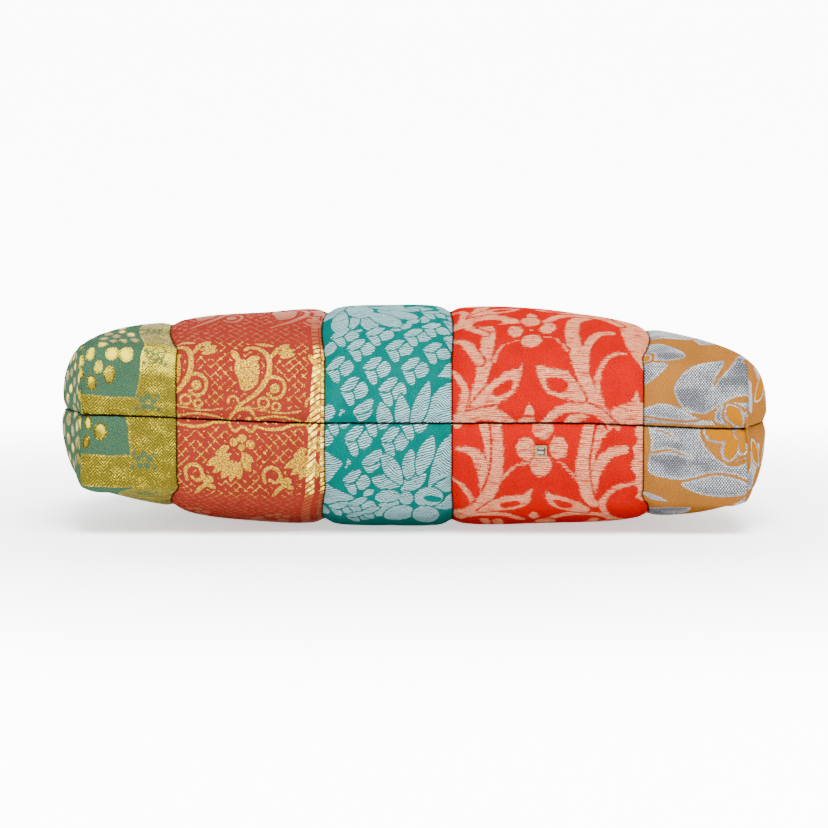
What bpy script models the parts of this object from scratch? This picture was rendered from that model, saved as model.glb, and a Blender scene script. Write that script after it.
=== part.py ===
"""A drawstring pouch pieced from five brocade strips on each face, lying on its back face.

The pouch is modelled as it lies: the boxed base faces -Y, the mouth faces +Y and Z is up.
Every cloth piece is laid out on the flat pattern, where "across" runs from side seam to side
seam and "along" runs from the bottom seam over the base and up the face to the mouth.
"""

import math

import bpy
import numpy as np
from mathutils import Matrix

# The filled pouch, in metres
base_width = 0.249
base_depth = 0.057
side_height = 0.190
seam_height = 0.0425
nose_reach = 0.006
belly_flare = 0.0092
belly_turn = 0.035
front_fullness = 0.935
back_fullness = 1.01
left_lift = 0.0026
left_lift_start = 0.03
right_drop = 0.0026
right_drop_start = 0.05
lift_fade_start = 0.02

# How the cloth turns from the base to the faces
nose_turn = 0.026
nose_power = 1.7
nose_angle = 64.0
face_turn = 0.060
face_power = 5.0
corner_power = 9.0
corner_mix = 3.0
corner_pull = 7.0
fold_pull = 6.0
reach_power = 2.5
corner_fade = 0.032
box_power = 34.0
oval_power = 2.15
box_fade = 0.009

# The relaxed gathers at the mouth
neck_half_width = 0.107
neck_half_height = 0.0205
neck_lift = 0.0315
neck_lift_start = 0.05
taper_start = 0.080
taper_end = 0.150
frill_flare = 0.005
gather_count = 7
gather_depth = 0.0050
gather_start = 0.108

# The strips, from the left: the end ones take what the face leaves them
teal_left = -0.034
rose_width = 0.056
teal_width = 0.0484
scarlet_width = 0.0726

# Cloth and seams
cloth = 0.0012
seam_gap = 0.0003
seam_roll = 0.0024
seam_dip = 0.0010
bottom_dip = 0.0014
puffs = {"gold": 0.0006, "rose": 0.0016, "teal": 0.0020, "scarlet": 0.0020, "silver": 0.0006}
column_width = 0.0094

# The lining and the drawstring casing
lining_cloth = 0.0006
lining_space = 0.0006
lining_ground = 0.0020
lining_seam = 0.0008
lining_height = 0.122
casing_start = 0.144
casing_width = 0.018
casing_room = 0.0024
casing_cloth = 0.0008
casing_space = 0.0006
casing_end_gap = 0.006

# The stone on the back scarlet strip
stone_across = 0.0481
stone_along = 0.0098
stone_width = 0.0028
stone_table = 0.0017
stone_height = 0.0011
stone_foot_share = 0.8
stone_girdle = 0.45
setting_wall = 0.0004
setting_base = 0.0004
setting_height = 0.0010

half_base = base_width / 2
half_depth = base_depth / 2
half_flat = half_base + half_depth
front, back = 1, -1
side_names = {front: "front", back: "back"}

# Rows of the face above the base's fold, closest where the cloth turns most
face_rows = np.array(
    [0.0, 0.005, 0.012, 0.021, 0.033, 0.049, 0.069, 0.090, 0.108, 0.121, 0.132, casing_start, 0.153]
    + [casing_start + casing_width, 0.176, side_height]
)
base_rows = np.array([seam_gap / 2, seam_roll, 0.40 * half_depth, 0.70 * half_depth])
lining_rows = np.array([0.0, 0.012, 0.033, 0.049, 0.069, 0.090, 0.108, lining_height])

brocade_colours = {
    "gold": (0.42, 0.36, 0.12, 1.0),
    "rose": (0.50, 0.09, 0.07, 1.0),
    "teal": (0.01, 0.34, 0.28, 1.0),
    "scarlet": (0.72, 0.05, 0.03, 1.0),
    "silver": (0.35, 0.30, 0.28, 1.0),
}
lining_colour = (0.45, 0.36, 0.22, 1.0)
casing_colour = (0.40, 0.06, 0.05, 1.0)


def smooth(value, low, high):
    """0 below low, 1 above high, with an easy curve between."""
    share = np.clip((value - low) / (high - low), 0.0, 1.0)
    return share * share * (3.0 - 2.0 * share)


def strip_edges():
    """Name to (left, right) of each strip, measured across the flat face."""
    rose_left = teal_left - rose_width
    scarlet_left = teal_left + teal_width
    silver_left = scarlet_left + scarlet_width
    return {
        "gold": (-half_flat, rose_left),
        "rose": (rose_left, teal_left),
        "teal": (teal_left, scarlet_left),
        "scarlet": (scarlet_left, silver_left),
        "silver": (silver_left, half_flat),
    }


# The cloth's path from the bottom seam to the mouth, walked in short steps
walk_step = 0.00025
walk = np.arange(0.0, half_depth + side_height + 0.01, walk_step)
section_turns = np.linspace(math.pi / 2, 0.0, 1201)
normal_step = 0.0006


def nose_path(bow):
    """Depth and height of the cloth along its length: bow is 0 in the middle, 1 at a corner."""
    mix = bow**corner_mix
    turn = nose_turn + (half_depth - nose_turn) * mix
    power = nose_power + (corner_power - nose_power) * mix
    quick = nose_angle + (90.0 - nose_angle) * mix
    angle = quick * (1.0 - np.exp(-((walk / turn) ** power)))
    angle = angle + (90.0 - quick) * (1.0 - np.exp(-((walk / face_turn) ** face_power)))
    angle = np.radians(angle[:-1])
    depth = np.concatenate([[0.0], np.cumsum(np.sin(angle) * walk_step)])
    height = np.concatenate([[0.0], np.cumsum(np.cos(angle) * walk_step)])
    return depth, height


def face_height(height_above):
    """Half thickness of the pouch in the middle, above the base's fold."""
    middle_height = nose_path(0.0)[1]
    full = np.interp(half_depth + height_above, walk, middle_height)
    neck = neck_half_height / np.interp(half_depth + taper_end, walk, middle_height)
    return full * (1.0 - (1.0 - neck) * smooth(height_above, taper_start, taper_end))


def half_width(height_above):
    """Half the pouch's width at a height above the base's fold."""
    belly = half_base + belly_flare * smooth(height_above, 0.0, belly_turn)
    neck = (half_base + belly_flare - neck_half_width) * smooth(height_above, taper_start, taper_end)
    return belly - neck + frill_flare * smooth(height_above, casing_start + casing_width, side_height)


def section(height_above, across):
    """Place across and height of cloth points on the pouch's cross-section, found by arc length."""
    power = oval_power + box_power * math.exp(-max(height_above, 0.0) / box_fade)
    wide = half_width(height_above) * np.abs(np.cos(section_turns)) ** (2.0 / power)
    tall = face_height(height_above) * np.abs(np.sin(section_turns)) ** (2.0 / power)
    wide[0] = 0.0
    tall[-1] = 0.0
    run = np.concatenate([[0.0], np.cumsum(np.hypot(np.diff(wide), np.diff(tall)))])
    reach = np.abs(across) / half_flat * run[-1]
    return np.interp(reach, run, wide), np.interp(reach, run, tall)


def smooth_point(across, along, side):
    """One row of points of the smooth pouch: `along` is one number, `across` an array."""
    height_above = max(along - half_depth, 0.0)
    bow = np.minimum(np.abs(across) / half_base, 1.0)
    sign = np.sign(across)
    wide, tall = section(height_above, across)
    corner_wide, corner_tall = (value[0] for value in section(height_above, np.array([half_base])))
    middle_tall = face_height(height_above)
    paths = [nose_path(value) for value in bow]
    depth = np.array([np.interp(along, walk, path[0]) for path in paths])
    height = np.array([np.interp(along, walk, path[1]) for path in paths])

    # The path of each column gives way to the oval section above the base
    oval = smooth(height_above, 0.0, corner_fade)
    drop = (tall - middle_tall) * min(along / half_depth, 1.0) ** fold_pull
    height = height + (middle_tall - height) * oval + drop
    end_depth, end_height = nose_path(1.0)
    corner_height = np.interp(half_depth + height_above, walk, end_height)
    corner_height = corner_height + (middle_tall - corner_height) * oval + corner_tall - middle_tall

    # Past the corner the cloth wraps down to the side seam
    side_along = half_flat - np.abs(across)
    past = np.abs(across) > half_base
    height = np.where(past, tall * corner_height / corner_tall, height)
    fold_depth = np.interp(side_along, walk, end_depth)
    rise = np.interp(half_depth + height_above, walk, end_depth) - np.interp(half_depth, walk, end_depth)
    depth = np.where(past, fold_depth + rise, depth)
    depth = depth - nose_reach * (1.0 - bow**reach_power)

    # On the base, the end column follows the upright corner seam
    if along < half_depth:
        seam_wide, seam_tall = section(0.0, np.array([half_flat - along]))
        scale = corner_height_at_fold() / section(0.0, np.array([half_base]))[1][0]
        end_fold = (corner_tall - middle_tall) * (along / half_depth) ** fold_pull
        end_now = np.interp(along, walk, end_height) + end_fold
        wide = wide + bow**corner_pull * (seam_wide[0] - corner_wide)
        height = height + bow**corner_pull * (seam_tall[0] * scale - end_now)

    middle = seam_height - (seam_height - neck_lift) * smooth(height_above, neck_lift_start, taper_end)
    lift = left_lift * smooth(-sign * wide, left_lift_start, half_base)
    lift = lift - right_drop * smooth(sign * wide, right_drop_start, half_base)
    lift = lift * (1.0 - smooth(height_above, lift_fade_start, taper_start))
    fullness = front_fullness if side == front else back_fullness
    return np.stack([sign * wide, depth, middle + lift + side * height * fullness], axis=1)


def corner_height_at_fold():
    """Height of the boxed corner above the side seam, where the base meets the face."""
    end_height = np.interp(half_depth, walk, nose_path(1.0)[1])
    return end_height + section(0.0, np.array([half_base]))[1][0] - face_height(0.0)


def unit(vectors):
    return vectors / np.maximum(np.linalg.norm(vectors, axis=1, keepdims=True), 1e-12)


def outward(across, along, side):
    """The outward direction at each point of a row of the smooth pouch."""
    left = smooth_point(across - normal_step, along, side)
    right = smooth_point(across + normal_step, along, side)
    low = smooth_point(across, max(along - normal_step, 0.0), side)
    high = smooth_point(across, along + normal_step, side)
    past = np.abs(across) > half_base
    if along <= half_depth + normal_step and past.any():
        low = np.where(past[:, None], smooth_point(across, half_depth, side), low)
    normal = unit(np.cross(right - left, high - low) * side)
    if along <= half_depth:
        normal = np.where(past[:, None], unit(normal + np.array([0.0, -1.0, 0.0])), normal)
    return normal


def seam_distance(across):
    """Distance from each point to the nearest seam between two strips or at the side."""
    edges = sorted({edge for pair in strip_edges().values() for edge in pair})
    return np.min(np.abs(across[:, None] - np.array(edges)[None, :]), axis=1)


def puff(across):
    """How far the cloth swells out between the seams of its strip."""
    swell = np.zeros_like(across)
    for name, (left, right) in strip_edges().items():
        inside = (across >= left) & (across <= right)
        share = (across - left) / (right - left) * 2.0 - 1.0
        swell = np.where(inside, puffs[name] * (1.0 - np.abs(share) ** 4), swell)
    return swell


def gathers(across, along):
    """The soft ripples that the drawstring leaves at the mouth."""
    height_above = along - half_depth
    depth = gather_depth * smooth(height_above, gather_start, casing_start)
    depth = depth * smooth(half_flat - np.abs(across), 0.0, half_depth)
    return depth * np.sin(math.pi * gather_count * (across / half_flat + 1.0))


def cloth_row(across, along, side, offset=0.0, stitched=True, lowest=0.0):
    """A row of cloth: the pouch's outer face moved outwards by `offset`, lying on the ground."""
    move = gathers(across, along) + offset
    if stitched:
        fade = 1.0 - smooth(along - half_depth, taper_start, taper_end)
        strip_dip = seam_dip * np.exp(-((seam_distance(across) / seam_roll) ** 2))
        base_dip = bottom_dip * math.exp(-((along / seam_roll) ** 2))
        move = move + puff(across) * fade * smooth(along, 0.0, half_depth)
        move = move - np.maximum(strip_dip, base_dip)
    point = smooth_point(across, along, side)
    point = point + outward(across, along, side) * move[:, None]
    point[:, 2] = np.maximum(point[:, 2], lowest)
    return point


def spread(low, high, roll, width):
    """Positions from low to high, with one close to each end to round the seam."""
    inner = max(round((high - low - 2 * roll) / width), 1)
    middle = np.linspace(low + roll, high - roll, inner + 1)
    return np.concatenate([[low], middle, [high]])


def strip_columns(left, right):
    """The base's columns of one strip, ending half a gap short of each seam."""
    half_gap = seam_gap / 2
    low = max(left + half_gap, -half_base)
    high = min(right - half_gap, half_base)
    return spread(low, high, seam_roll, column_width)


def grid_faces(numbers, side):
    """Quads facing out between rows of vertex numbers."""
    faces = []
    for low, high in zip(numbers, numbers[1:]):
        for column in range(len(low) - 1):
            quad = (low[column], low[column + 1], high[column + 1], high[column])
            faces.append(quad if side == front else quad[::-1])
    return faces


def boxed_sheet(across, base_along, face_along, side, place):
    """Points and faces of a sheet that covers base and face, sewn to itself at a boxed corner."""
    corner_left = across[0] <= -half_base
    corner_right = across[-1] >= half_base
    side_across = half_flat - base_along
    face_across = across
    if corner_left:
        face_across = np.concatenate([-side_across, face_across])
    if corner_right:
        face_across = np.concatenate([face_across, side_across[::-1]])
    columns = len(face_across)
    points = [point for along in face_along for point in place(face_across, along)]
    face_numbers = [list(range(row * columns, (row + 1) * columns)) for row in range(len(face_along))]

    first = len(side_across) if corner_left else 0
    base_numbers = []
    for row, along in enumerate(base_along):
        line = []
        for column, point in enumerate(place(across, along)):
            if corner_left and column == 0:
                line.append(row)
            elif corner_right and column == len(across) - 1:
                line.append(columns - 1 - row)
            else:
                line.append(len(points))
                points.append(point)
        base_numbers.append(line)
    base_numbers.append(face_numbers[0][first : first + len(across)])
    return points, grid_faces(base_numbers, side) + grid_faces(face_numbers, side)


def new_object(name, points, faces, colour, roughness, metallic=0.0):
    """One named mesh object with its own material."""
    mesh = bpy.data.meshes.new(name)
    mesh.from_pydata([tuple(point) for point in points], [], faces)
    mesh.shade_smooth()
    mesh.set_sharp_from_angle(angle=math.radians(50))
    material = bpy.data.materials.new(name)
    material.use_nodes = True
    shader = material.node_tree.nodes["Principled BSDF"]
    shader.inputs["Base Color"].default_value = colour
    shader.inputs["Roughness"].default_value = roughness
    shader.inputs["Metallic"].default_value = metallic
    mesh.materials.append(material)
    made = bpy.data.objects.new(name, mesh)
    bpy.context.scene.collection.objects.link(made)
    return made


def thicken(made, thickness):
    """Gives a sheet its thickness on the inner side."""
    solid = made.modifiers.new("thickness", "SOLIDIFY")
    solid.thickness = thickness
    solid.offset = -1.0


def strip(name, left, right, side):
    """One brocade strip, from the bottom seam over the base and up the face to the mouth."""
    face_along = half_depth + face_rows

    def place(across, along):
        return cloth_row(across, along, side)

    points, faces = boxed_sheet(strip_columns(left, right), base_rows, face_along, side, place)
    made = new_object(f"{side_names[side]}_{name}_strip", points, faces, brocade_colours[name], 0.5)
    thicken(made, cloth)


def lining(side):
    """The plain lining of one half, hung inside the strips and open at the mouth."""
    across = np.linspace(-half_base, half_base, 2 * round(half_base / column_width) + 1)
    base_along = np.append(lining_seam, base_rows[2:])
    face_along = half_depth + lining_rows
    inset = cloth + max(seam_dip, bottom_dip) + lining_space

    def place(across, along):
        return cloth_row(across, along, side, -inset, False, lining_ground)

    points, faces = boxed_sheet(across, base_along, face_along, side, place)
    made = new_object(f"lining_{side_names[side]}", points, faces, lining_colour, 0.8)
    thicken(made, lining_cloth)


def casing(side):
    """The drawstring channel's band on one half, open at both ends beside the side seams."""
    reach = half_flat - casing_end_gap
    wrapped = half_flat - base_rows
    columns = [strip_columns(*edges) for edges in strip_edges().values()]
    columns = np.concatenate(columns + [wrapped, -wrapped])
    columns = columns[(np.abs(columns) < reach) & (seam_distance(columns) > seam_gap)]
    seams = np.array([left for left, right in strip_edges().values() if left > -half_base])
    across = np.sort(np.concatenate([columns, seams, [-reach, reach]]))
    rows = []
    for share in (0.0, 0.25, 0.5, 0.75, 1.0):
        swell = casing_room * math.sin(math.pi * share)
        along = half_depth + casing_start + casing_width * share
        rows.append(cloth_row(across, along, side, casing_space + casing_cloth + swell))
    numbers = [list(range(row * len(across), (row + 1) * len(across))) for row in range(len(rows))]
    made = new_object(
        f"casing_{side_names[side]}", np.concatenate(rows), grid_faces(numbers, side), casing_colour, 0.8
    )
    thicken(made, casing_cloth)


def stacked_squares(levels):
    """Points and faces of square rings stacked on each other and closed at both ends."""
    points = []
    for half, height in levels:
        points += [(-half, -half, height), (half, -half, height)]
        points += [(half, half, height), (-half, half, height)]
    faces = [(3, 2, 1, 0)]
    for level in range(len(levels) - 1):
        for corner in range(4):
            low = 4 * level
            after = (corner + 1) % 4
            faces.append((low + corner, low + after, low + 4 + after, low + 4 + corner))
    top = 4 * (len(levels) - 1)
    faces.append((top, top + 1, top + 2, top + 3))
    return np.array(points), faces


def crystal():
    """The small square crystal and its setting, sewn to the middle of a woven flower."""
    across = np.array([stone_across])
    normal = outward(across, stone_along, back)[0]
    seat = cloth_row(across, stone_along, back)[0] + normal * seam_gap
    right = unit(np.cross(normal[None, :], np.array([[0.0, 0.0, 1.0]])))[0]
    upright = np.cross(normal, right)
    turn = np.stack([right, upright, normal])
    half_stone = stone_width / 2
    half_inside = half_stone + seam_gap
    half_setting = half_inside + setting_wall
    tray = [
        (half_setting, 0.0),
        (half_setting, setting_height),
        (half_inside, setting_height),
        (half_inside, setting_base),
    ]
    stone_foot = setting_base + seam_gap
    stone = [
        (half_stone * stone_foot_share, stone_foot),
        (half_stone, stone_foot + stone_height * stone_girdle),
        (stone_table / 2, stone_foot + stone_height),
    ]
    for name, levels, colour, roughness, metallic in (
        ("crystal_setting", tray, (0.72, 0.66, 0.45, 1.0), 0.3, 1.0),
        ("flower_crystal", stone, (0.92, 0.94, 0.97, 1.0), 0.05, 0.0),
    ):
        points, faces = stacked_squares(levels)
        new_object(name, points @ turn + seat, faces, colour, roughness, metallic)


def settle():
    """Moves the whole pouch so that the origin lies under the middle of its box."""
    made = [thing for thing in bpy.context.scene.objects if thing.type == "MESH"]
    corners = np.array([vertex.co for thing in made for vertex in thing.data.vertices])
    middle = (corners.min(axis=0) + corners.max(axis=0)) / 2
    for thing in made:
        thing.data.transform(Matrix.Translation((-middle[0], -middle[1], 0.0)))


def main():
    for old in list(bpy.data.objects):
        bpy.data.objects.remove(old)
    for side in (front, back):
        for name, (left, right) in strip_edges().items():
            strip(name, left, right, side)
        lining(side)
        casing(side)
    crystal()
    settle()


main()
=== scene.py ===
import math

import bpy
import numpy as np
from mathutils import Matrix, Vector


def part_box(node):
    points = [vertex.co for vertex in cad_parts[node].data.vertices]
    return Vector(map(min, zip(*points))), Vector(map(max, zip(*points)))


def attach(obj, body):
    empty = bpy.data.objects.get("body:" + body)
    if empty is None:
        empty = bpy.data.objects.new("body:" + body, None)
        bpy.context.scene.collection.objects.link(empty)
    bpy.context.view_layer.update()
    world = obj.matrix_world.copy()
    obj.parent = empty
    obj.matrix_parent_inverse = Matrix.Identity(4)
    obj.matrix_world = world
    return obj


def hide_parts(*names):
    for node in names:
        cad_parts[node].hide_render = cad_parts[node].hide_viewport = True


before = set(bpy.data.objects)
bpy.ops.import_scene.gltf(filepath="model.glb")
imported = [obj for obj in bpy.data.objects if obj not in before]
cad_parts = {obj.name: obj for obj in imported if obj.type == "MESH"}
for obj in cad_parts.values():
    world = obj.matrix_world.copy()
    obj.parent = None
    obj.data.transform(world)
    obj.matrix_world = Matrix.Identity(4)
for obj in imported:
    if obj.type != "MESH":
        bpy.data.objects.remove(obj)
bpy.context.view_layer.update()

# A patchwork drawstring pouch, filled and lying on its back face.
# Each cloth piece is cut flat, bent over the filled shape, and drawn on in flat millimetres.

# The filled pouch, in metres: the same flat pattern and the same curves as the CAD model.
# "across" runs from side seam to side seam, "along" from the bottom seam to the mouth.
pouch = dict(
    baseWidth=0.249, baseDepth=0.057, sideHeight=0.190, seamHeight=0.0425, noseReach=0.006,
    bellyFlare=0.0092, bellyTurn=0.035, frontFullness=0.935, backFullness=1.01,
    leftLift=0.0026, leftLiftStart=0.03, rightDrop=0.0026, rightDropStart=0.05, liftFadeStart=0.02,
    noseTurn=0.026, nosePower=1.7, noseAngle=64.0, faceTurn=0.060, facePower=5.0,
    cornerPower=9.0, cornerMix=3.0, cornerPull=7.0, foldPull=6.0, reachPower=2.5, cornerFade=0.032,
    boxPower=34.0, ovalPower=2.15, boxFade=0.009,
    neckHalfWidth=0.107, neckHalfHeight=0.0205, neckLift=0.0315, neckLiftStart=0.05,
    taperStart=0.080, taperEnd=0.150, frillFlare=0.005,
    gatherCount=7, gatherDepth=0.0050, gatherStart=0.108,
    seamGap=0.0003, seamRoll=0.0024, seamDip=0.0010, bottomDip=0.0014,
    casingStart=0.144, casingWidth=0.018, casingEndGap=0.006,
)
puffs = {"gold": 0.0006, "rose": 0.0016, "teal": 0.0020, "scarlet": 0.0020, "silver": 0.0006}
stripEdges = {
    "gold": (-0.153, -0.090),
    "rose": (-0.090, -0.034),
    "teal": (-0.034, 0.0144),
    "scarlet": (0.0144, 0.087),
    "silver": (0.087, 0.153),
}
settled = np.array([0.0000033, -0.0926017, 0.0])  # the CAD model is centred over the origin
stonePlace = (0.0481, 0.0098)
lineUp = {"gold": -0.1505}  # where a strip's pattern is measured from, if not from its left edge

halfBase = pouch["baseWidth"] / 2
halfDepth = pouch["baseDepth"] / 2
halfFlat = halfBase + halfDepth
front, back = 1, -1
sideNames = {front: "front", back: "back"}


# the filled shape
def smooth(value, low, high):
    share = np.clip((value - low) / (high - low), 0.0, 1.0)
    return share * share * (3.0 - 2.0 * share)


walkStep = 0.00025
walk = np.arange(0.0, halfDepth + pouch["sideHeight"] + 0.01, walkStep)
sectionTurns = np.linspace(math.pi / 2, 0.0, 1201)


def nosePaths(bow):
    mix = bow[:, None] ** pouch["cornerMix"]
    turn = pouch["noseTurn"] + (halfDepth - pouch["noseTurn"]) * mix
    power = pouch["nosePower"] + (pouch["cornerPower"] - pouch["nosePower"]) * mix
    quick = pouch["noseAngle"] + (90.0 - pouch["noseAngle"]) * mix
    angle = quick * (1.0 - np.exp(-((walk / turn) ** power)))
    angle += (90.0 - quick) * (1.0 - np.exp(-((walk / pouch["faceTurn"]) ** pouch["facePower"])))
    angle = np.radians(angle[:, :-1])
    depth = np.pad(np.cumsum(np.sin(angle) * walkStep, axis=1), ((0, 0), (1, 0)))
    height = np.pad(np.cumsum(np.cos(angle) * walkStep, axis=1), ((0, 0), (1, 0)))
    return depth, height


middlePath = [path[0] for path in nosePaths(np.array([0.0]))]
endPath = [path[0] for path in nosePaths(np.array([1.0]))]
pathTables = {}


def pathsFor(across):
    key = across.tobytes()
    if key not in pathTables:
        pathTables[key] = nosePaths(np.minimum(np.abs(across) / halfBase, 1.0))
    return pathTables[key]


def readPath(table, along):
    place = min(along / walkStep, len(walk) - 1.001)
    low = int(place)
    return table[..., low] + (table[..., low + 1] - table[..., low]) * (place - low)


def faceHeight(heightAbove):
    full = readPath(middlePath[1], halfDepth + heightAbove)
    neck = pouch["neckHalfHeight"] / readPath(middlePath[1], halfDepth + pouch["taperEnd"])
    return full * (
        1.0 - (1.0 - neck) * smooth(heightAbove, pouch["taperStart"], pouch["taperEnd"])
    )


def halfWidth(heightAbove):
    belly = halfBase + pouch["bellyFlare"] * smooth(heightAbove, 0.0, pouch["bellyTurn"])
    neck = (halfBase + pouch["bellyFlare"] - pouch["neckHalfWidth"])
    neck = neck * smooth(heightAbove, pouch["taperStart"], pouch["taperEnd"])
    frill = smooth(heightAbove, pouch["casingStart"] + pouch["casingWidth"], pouch["sideHeight"])
    return belly - neck + pouch["frillFlare"] * frill


def section(heightAbove, across):
    power = pouch["ovalPower"] + pouch["boxPower"] * math.exp(
        -max(heightAbove, 0.0) / pouch["boxFade"],
    )
    wide = halfWidth(heightAbove) * np.abs(np.cos(sectionTurns)) ** (2.0 / power)
    tall = faceHeight(heightAbove) * np.abs(np.sin(sectionTurns)) ** (2.0 / power)
    wide[0] = 0.0
    tall[-1] = 0.0
    run = np.concatenate([[0.0], np.cumsum(np.hypot(np.diff(wide), np.diff(tall)))])
    reach = np.abs(across) / halfFlat * run[-1]
    return np.interp(reach, run, wide), np.interp(reach, run, tall)


def cornerHeightAtFold():
    endTall = section(0.0, np.array([halfBase]))[1][0]
    return readPath(endPath[1], halfDepth) + endTall - faceHeight(0.0)


def smoothRow(across, along, side):
    heightAbove = max(along - halfDepth, 0.0)
    bow = np.minimum(np.abs(across) / halfBase, 1.0)
    sign = np.sign(across)
    wide, tall = section(heightAbove, across)
    cornerWide, cornerTall = (value[0] for value in section(heightAbove, np.array([halfBase])))
    middleTall = faceHeight(heightAbove)
    depths, heights = pathsFor(across)
    depth = readPath(depths, along)
    height = readPath(heights, along)

    # each column's own path gives way to the oval section above the base
    oval = smooth(heightAbove, 0.0, pouch["cornerFade"])
    drop = (tall - middleTall) * min(along / halfDepth, 1.0) ** pouch["foldPull"]
    height = height + (middleTall - height) * oval + drop
    cornerHeight = readPath(endPath[1], halfDepth + heightAbove)
    cornerHeight = cornerHeight + (middleTall - cornerHeight) * oval + cornerTall - middleTall

    # past the corner the cloth wraps down to the side seam
    past = np.abs(across) > halfBase
    height = np.where(past, tall * cornerHeight / cornerTall, height)
    foldDepth = np.interp(halfFlat - np.abs(across), walk, endPath[0])
    rise = readPath(endPath[0], halfDepth + heightAbove) - readPath(endPath[0], halfDepth)
    depth = np.where(past, foldDepth + rise, depth)
    depth = depth - pouch["noseReach"] * (1.0 - bow ** pouch["reachPower"])

    # on the base, the end column follows the upright corner seam
    if along < halfDepth:
        seamWide, seamTall = section(0.0, np.array([halfFlat - along]))
        scale = cornerHeightAtFold() / section(0.0, np.array([halfBase]))[1][0]
        endFold = (cornerTall - middleTall) * (along / halfDepth) ** pouch["foldPull"]
        endNow = readPath(endPath[1], along) + endFold
        wide = wide + bow ** pouch["cornerPull"] * (seamWide[0] - cornerWide)
        height = height + bow ** pouch["cornerPull"] * (seamTall[0] * scale - endNow)

    drooped = smooth(heightAbove, pouch["neckLiftStart"], pouch["taperEnd"])
    middle = pouch["seamHeight"] - (pouch["seamHeight"] - pouch["neckLift"]) * drooped
    lift = pouch["leftLift"] * smooth(-sign * wide, pouch["leftLiftStart"], halfBase)
    lift = lift - pouch["rightDrop"] * smooth(sign * wide, pouch["rightDropStart"], halfBase)
    lift = lift * (1.0 - smooth(heightAbove, pouch["liftFadeStart"], pouch["taperStart"]))
    fullness = pouch["frontFullness"] if side == front else pouch["backFullness"]
    return np.stack([sign * wide, depth, middle + lift + side * height * fullness], axis=1)


def unit(vectors):
    return vectors / np.maximum(np.linalg.norm(vectors, axis=1, keepdims=True), 1e-12)


def outward(across, along, side, step=0.0006):
    left = smoothRow(across - step, along, side)
    right = smoothRow(across + step, along, side)
    low = smoothRow(across, max(along - step, 0.0), side)
    high = smoothRow(across, along + step, side)
    past = np.abs(across) > halfBase
    if along <= halfDepth + step and past.any():
        low = np.where(past[:, None], smoothRow(across, halfDepth, side), low)
    normal = unit(np.cross(right - left, high - low) * side)
    if along <= halfDepth:
        normal = np.where(past[:, None], unit(normal + np.array([0.0, -1.0, 0.0])), normal)
    return normal


def seamDistance(across):
    edges = np.array(sorted({edge for pair in stripEdges.values() for edge in pair}))
    return np.min(np.abs(across[:, None] - edges[None, :]), axis=1)


def cornerDistance(across, along):
    # how far a point lies from the short seam that boxes each corner
    beside = halfBase - np.abs(across)
    above = max(along - halfDepth, 0.0)
    return np.where(beside < 0.0, above, np.hypot(beside, above))


def puff(across):
    swell = np.zeros_like(across)
    for name, (left, right) in stripEdges.items():
        share = (across - left) / (right - left) * 2.0 - 1.0
        swell = np.where(np.abs(share) <= 1.0, puffs[name] * (1.0 - np.abs(share) ** 4), swell)
    return swell


def gathers(across, along):
    depth = pouch["gatherDepth"] * smooth(
        along - halfDepth, pouch["gatherStart"], pouch["casingStart"],
    )
    depth = depth * smooth(halfFlat - np.abs(across), 0.0, halfDepth)
    return depth * np.sin(math.pi * pouch["gatherCount"] * (across / halfFlat + 1.0))


clothLook = dict(
    thickness=0.0005, seamGap=0.00006, tuck=0.0018, cornerDip=0.0012, cornerRoll=0.0022,
    puckerDepth=0.00022, puckerPitch=0.0083, basePitch=0.0117, puckerReach=0.006,
    creaseDepth=0.00045, creasePitch=0.0105, creaseReach=0.007, unevenness=0.000225,
    stoneCalm=0.008,  # no puckers this near the crystal
    fineCell=0.00075, coarseCell=0.0017, fineReach=0.047,
    hem=((0.0001, 0.0009), (0.002, 0.0013), (0.012, 0.0013)),  # below the mouth, and how far in
)
# the stuffing's slow waves: across and along, the side's turn, a shift, and the strength
slowWaves = (
    (71.0, 33.0, 1.7, 0.0, 1.0),
    (38.0, -64.0, 0.0, 0.6, 1.0),
    (128.0, 87.0, -1.0, 0.0, 0.6),
)


def puckers(across, along, side):
    # small pulls along the seams, and the slow unevenness of a stuffed bag
    look = clothLook
    corner = cornerDistance(across, along)
    pull = look["puckerDepth"] * np.exp(-seamDistance(across) / look["puckerReach"])
    pull = pull * np.sin(
        2 * math.pi * along / look["puckerPitch"] + 31.0 * np.round(across, 2) + side,
    )
    base = look["puckerDepth"] * math.exp(-along / look["puckerReach"])
    base = base * np.sin(
        2 * math.pi * across / look["basePitch"] + 2.0 * np.sin(across * 90.0) + side,
    )
    crease = look["creaseDepth"] * np.exp(-corner / look["creaseReach"])
    crease = crease * np.sin(
        2 * math.pi * (along + 0.4 * np.abs(across)) / look["creasePitch"] + side,
    )
    waves = (
        strength * np.sin(across * waveAcross + along * waveAlong + turn * side + shift)
        for waveAcross, waveAlong, turn, shift, strength in slowWaves
    )
    slow = look["unevenness"] * sum(waves) * smooth(along, 0.0, halfDepth)
    stone = np.hypot(across - stonePlace[0], along - stonePlace[1])
    calm = 1.0 - np.exp(-((stone / look["stoneCalm"]) ** 2)) if side == back else 1.0
    return (pull + base + crease + slow) * calm


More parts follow.
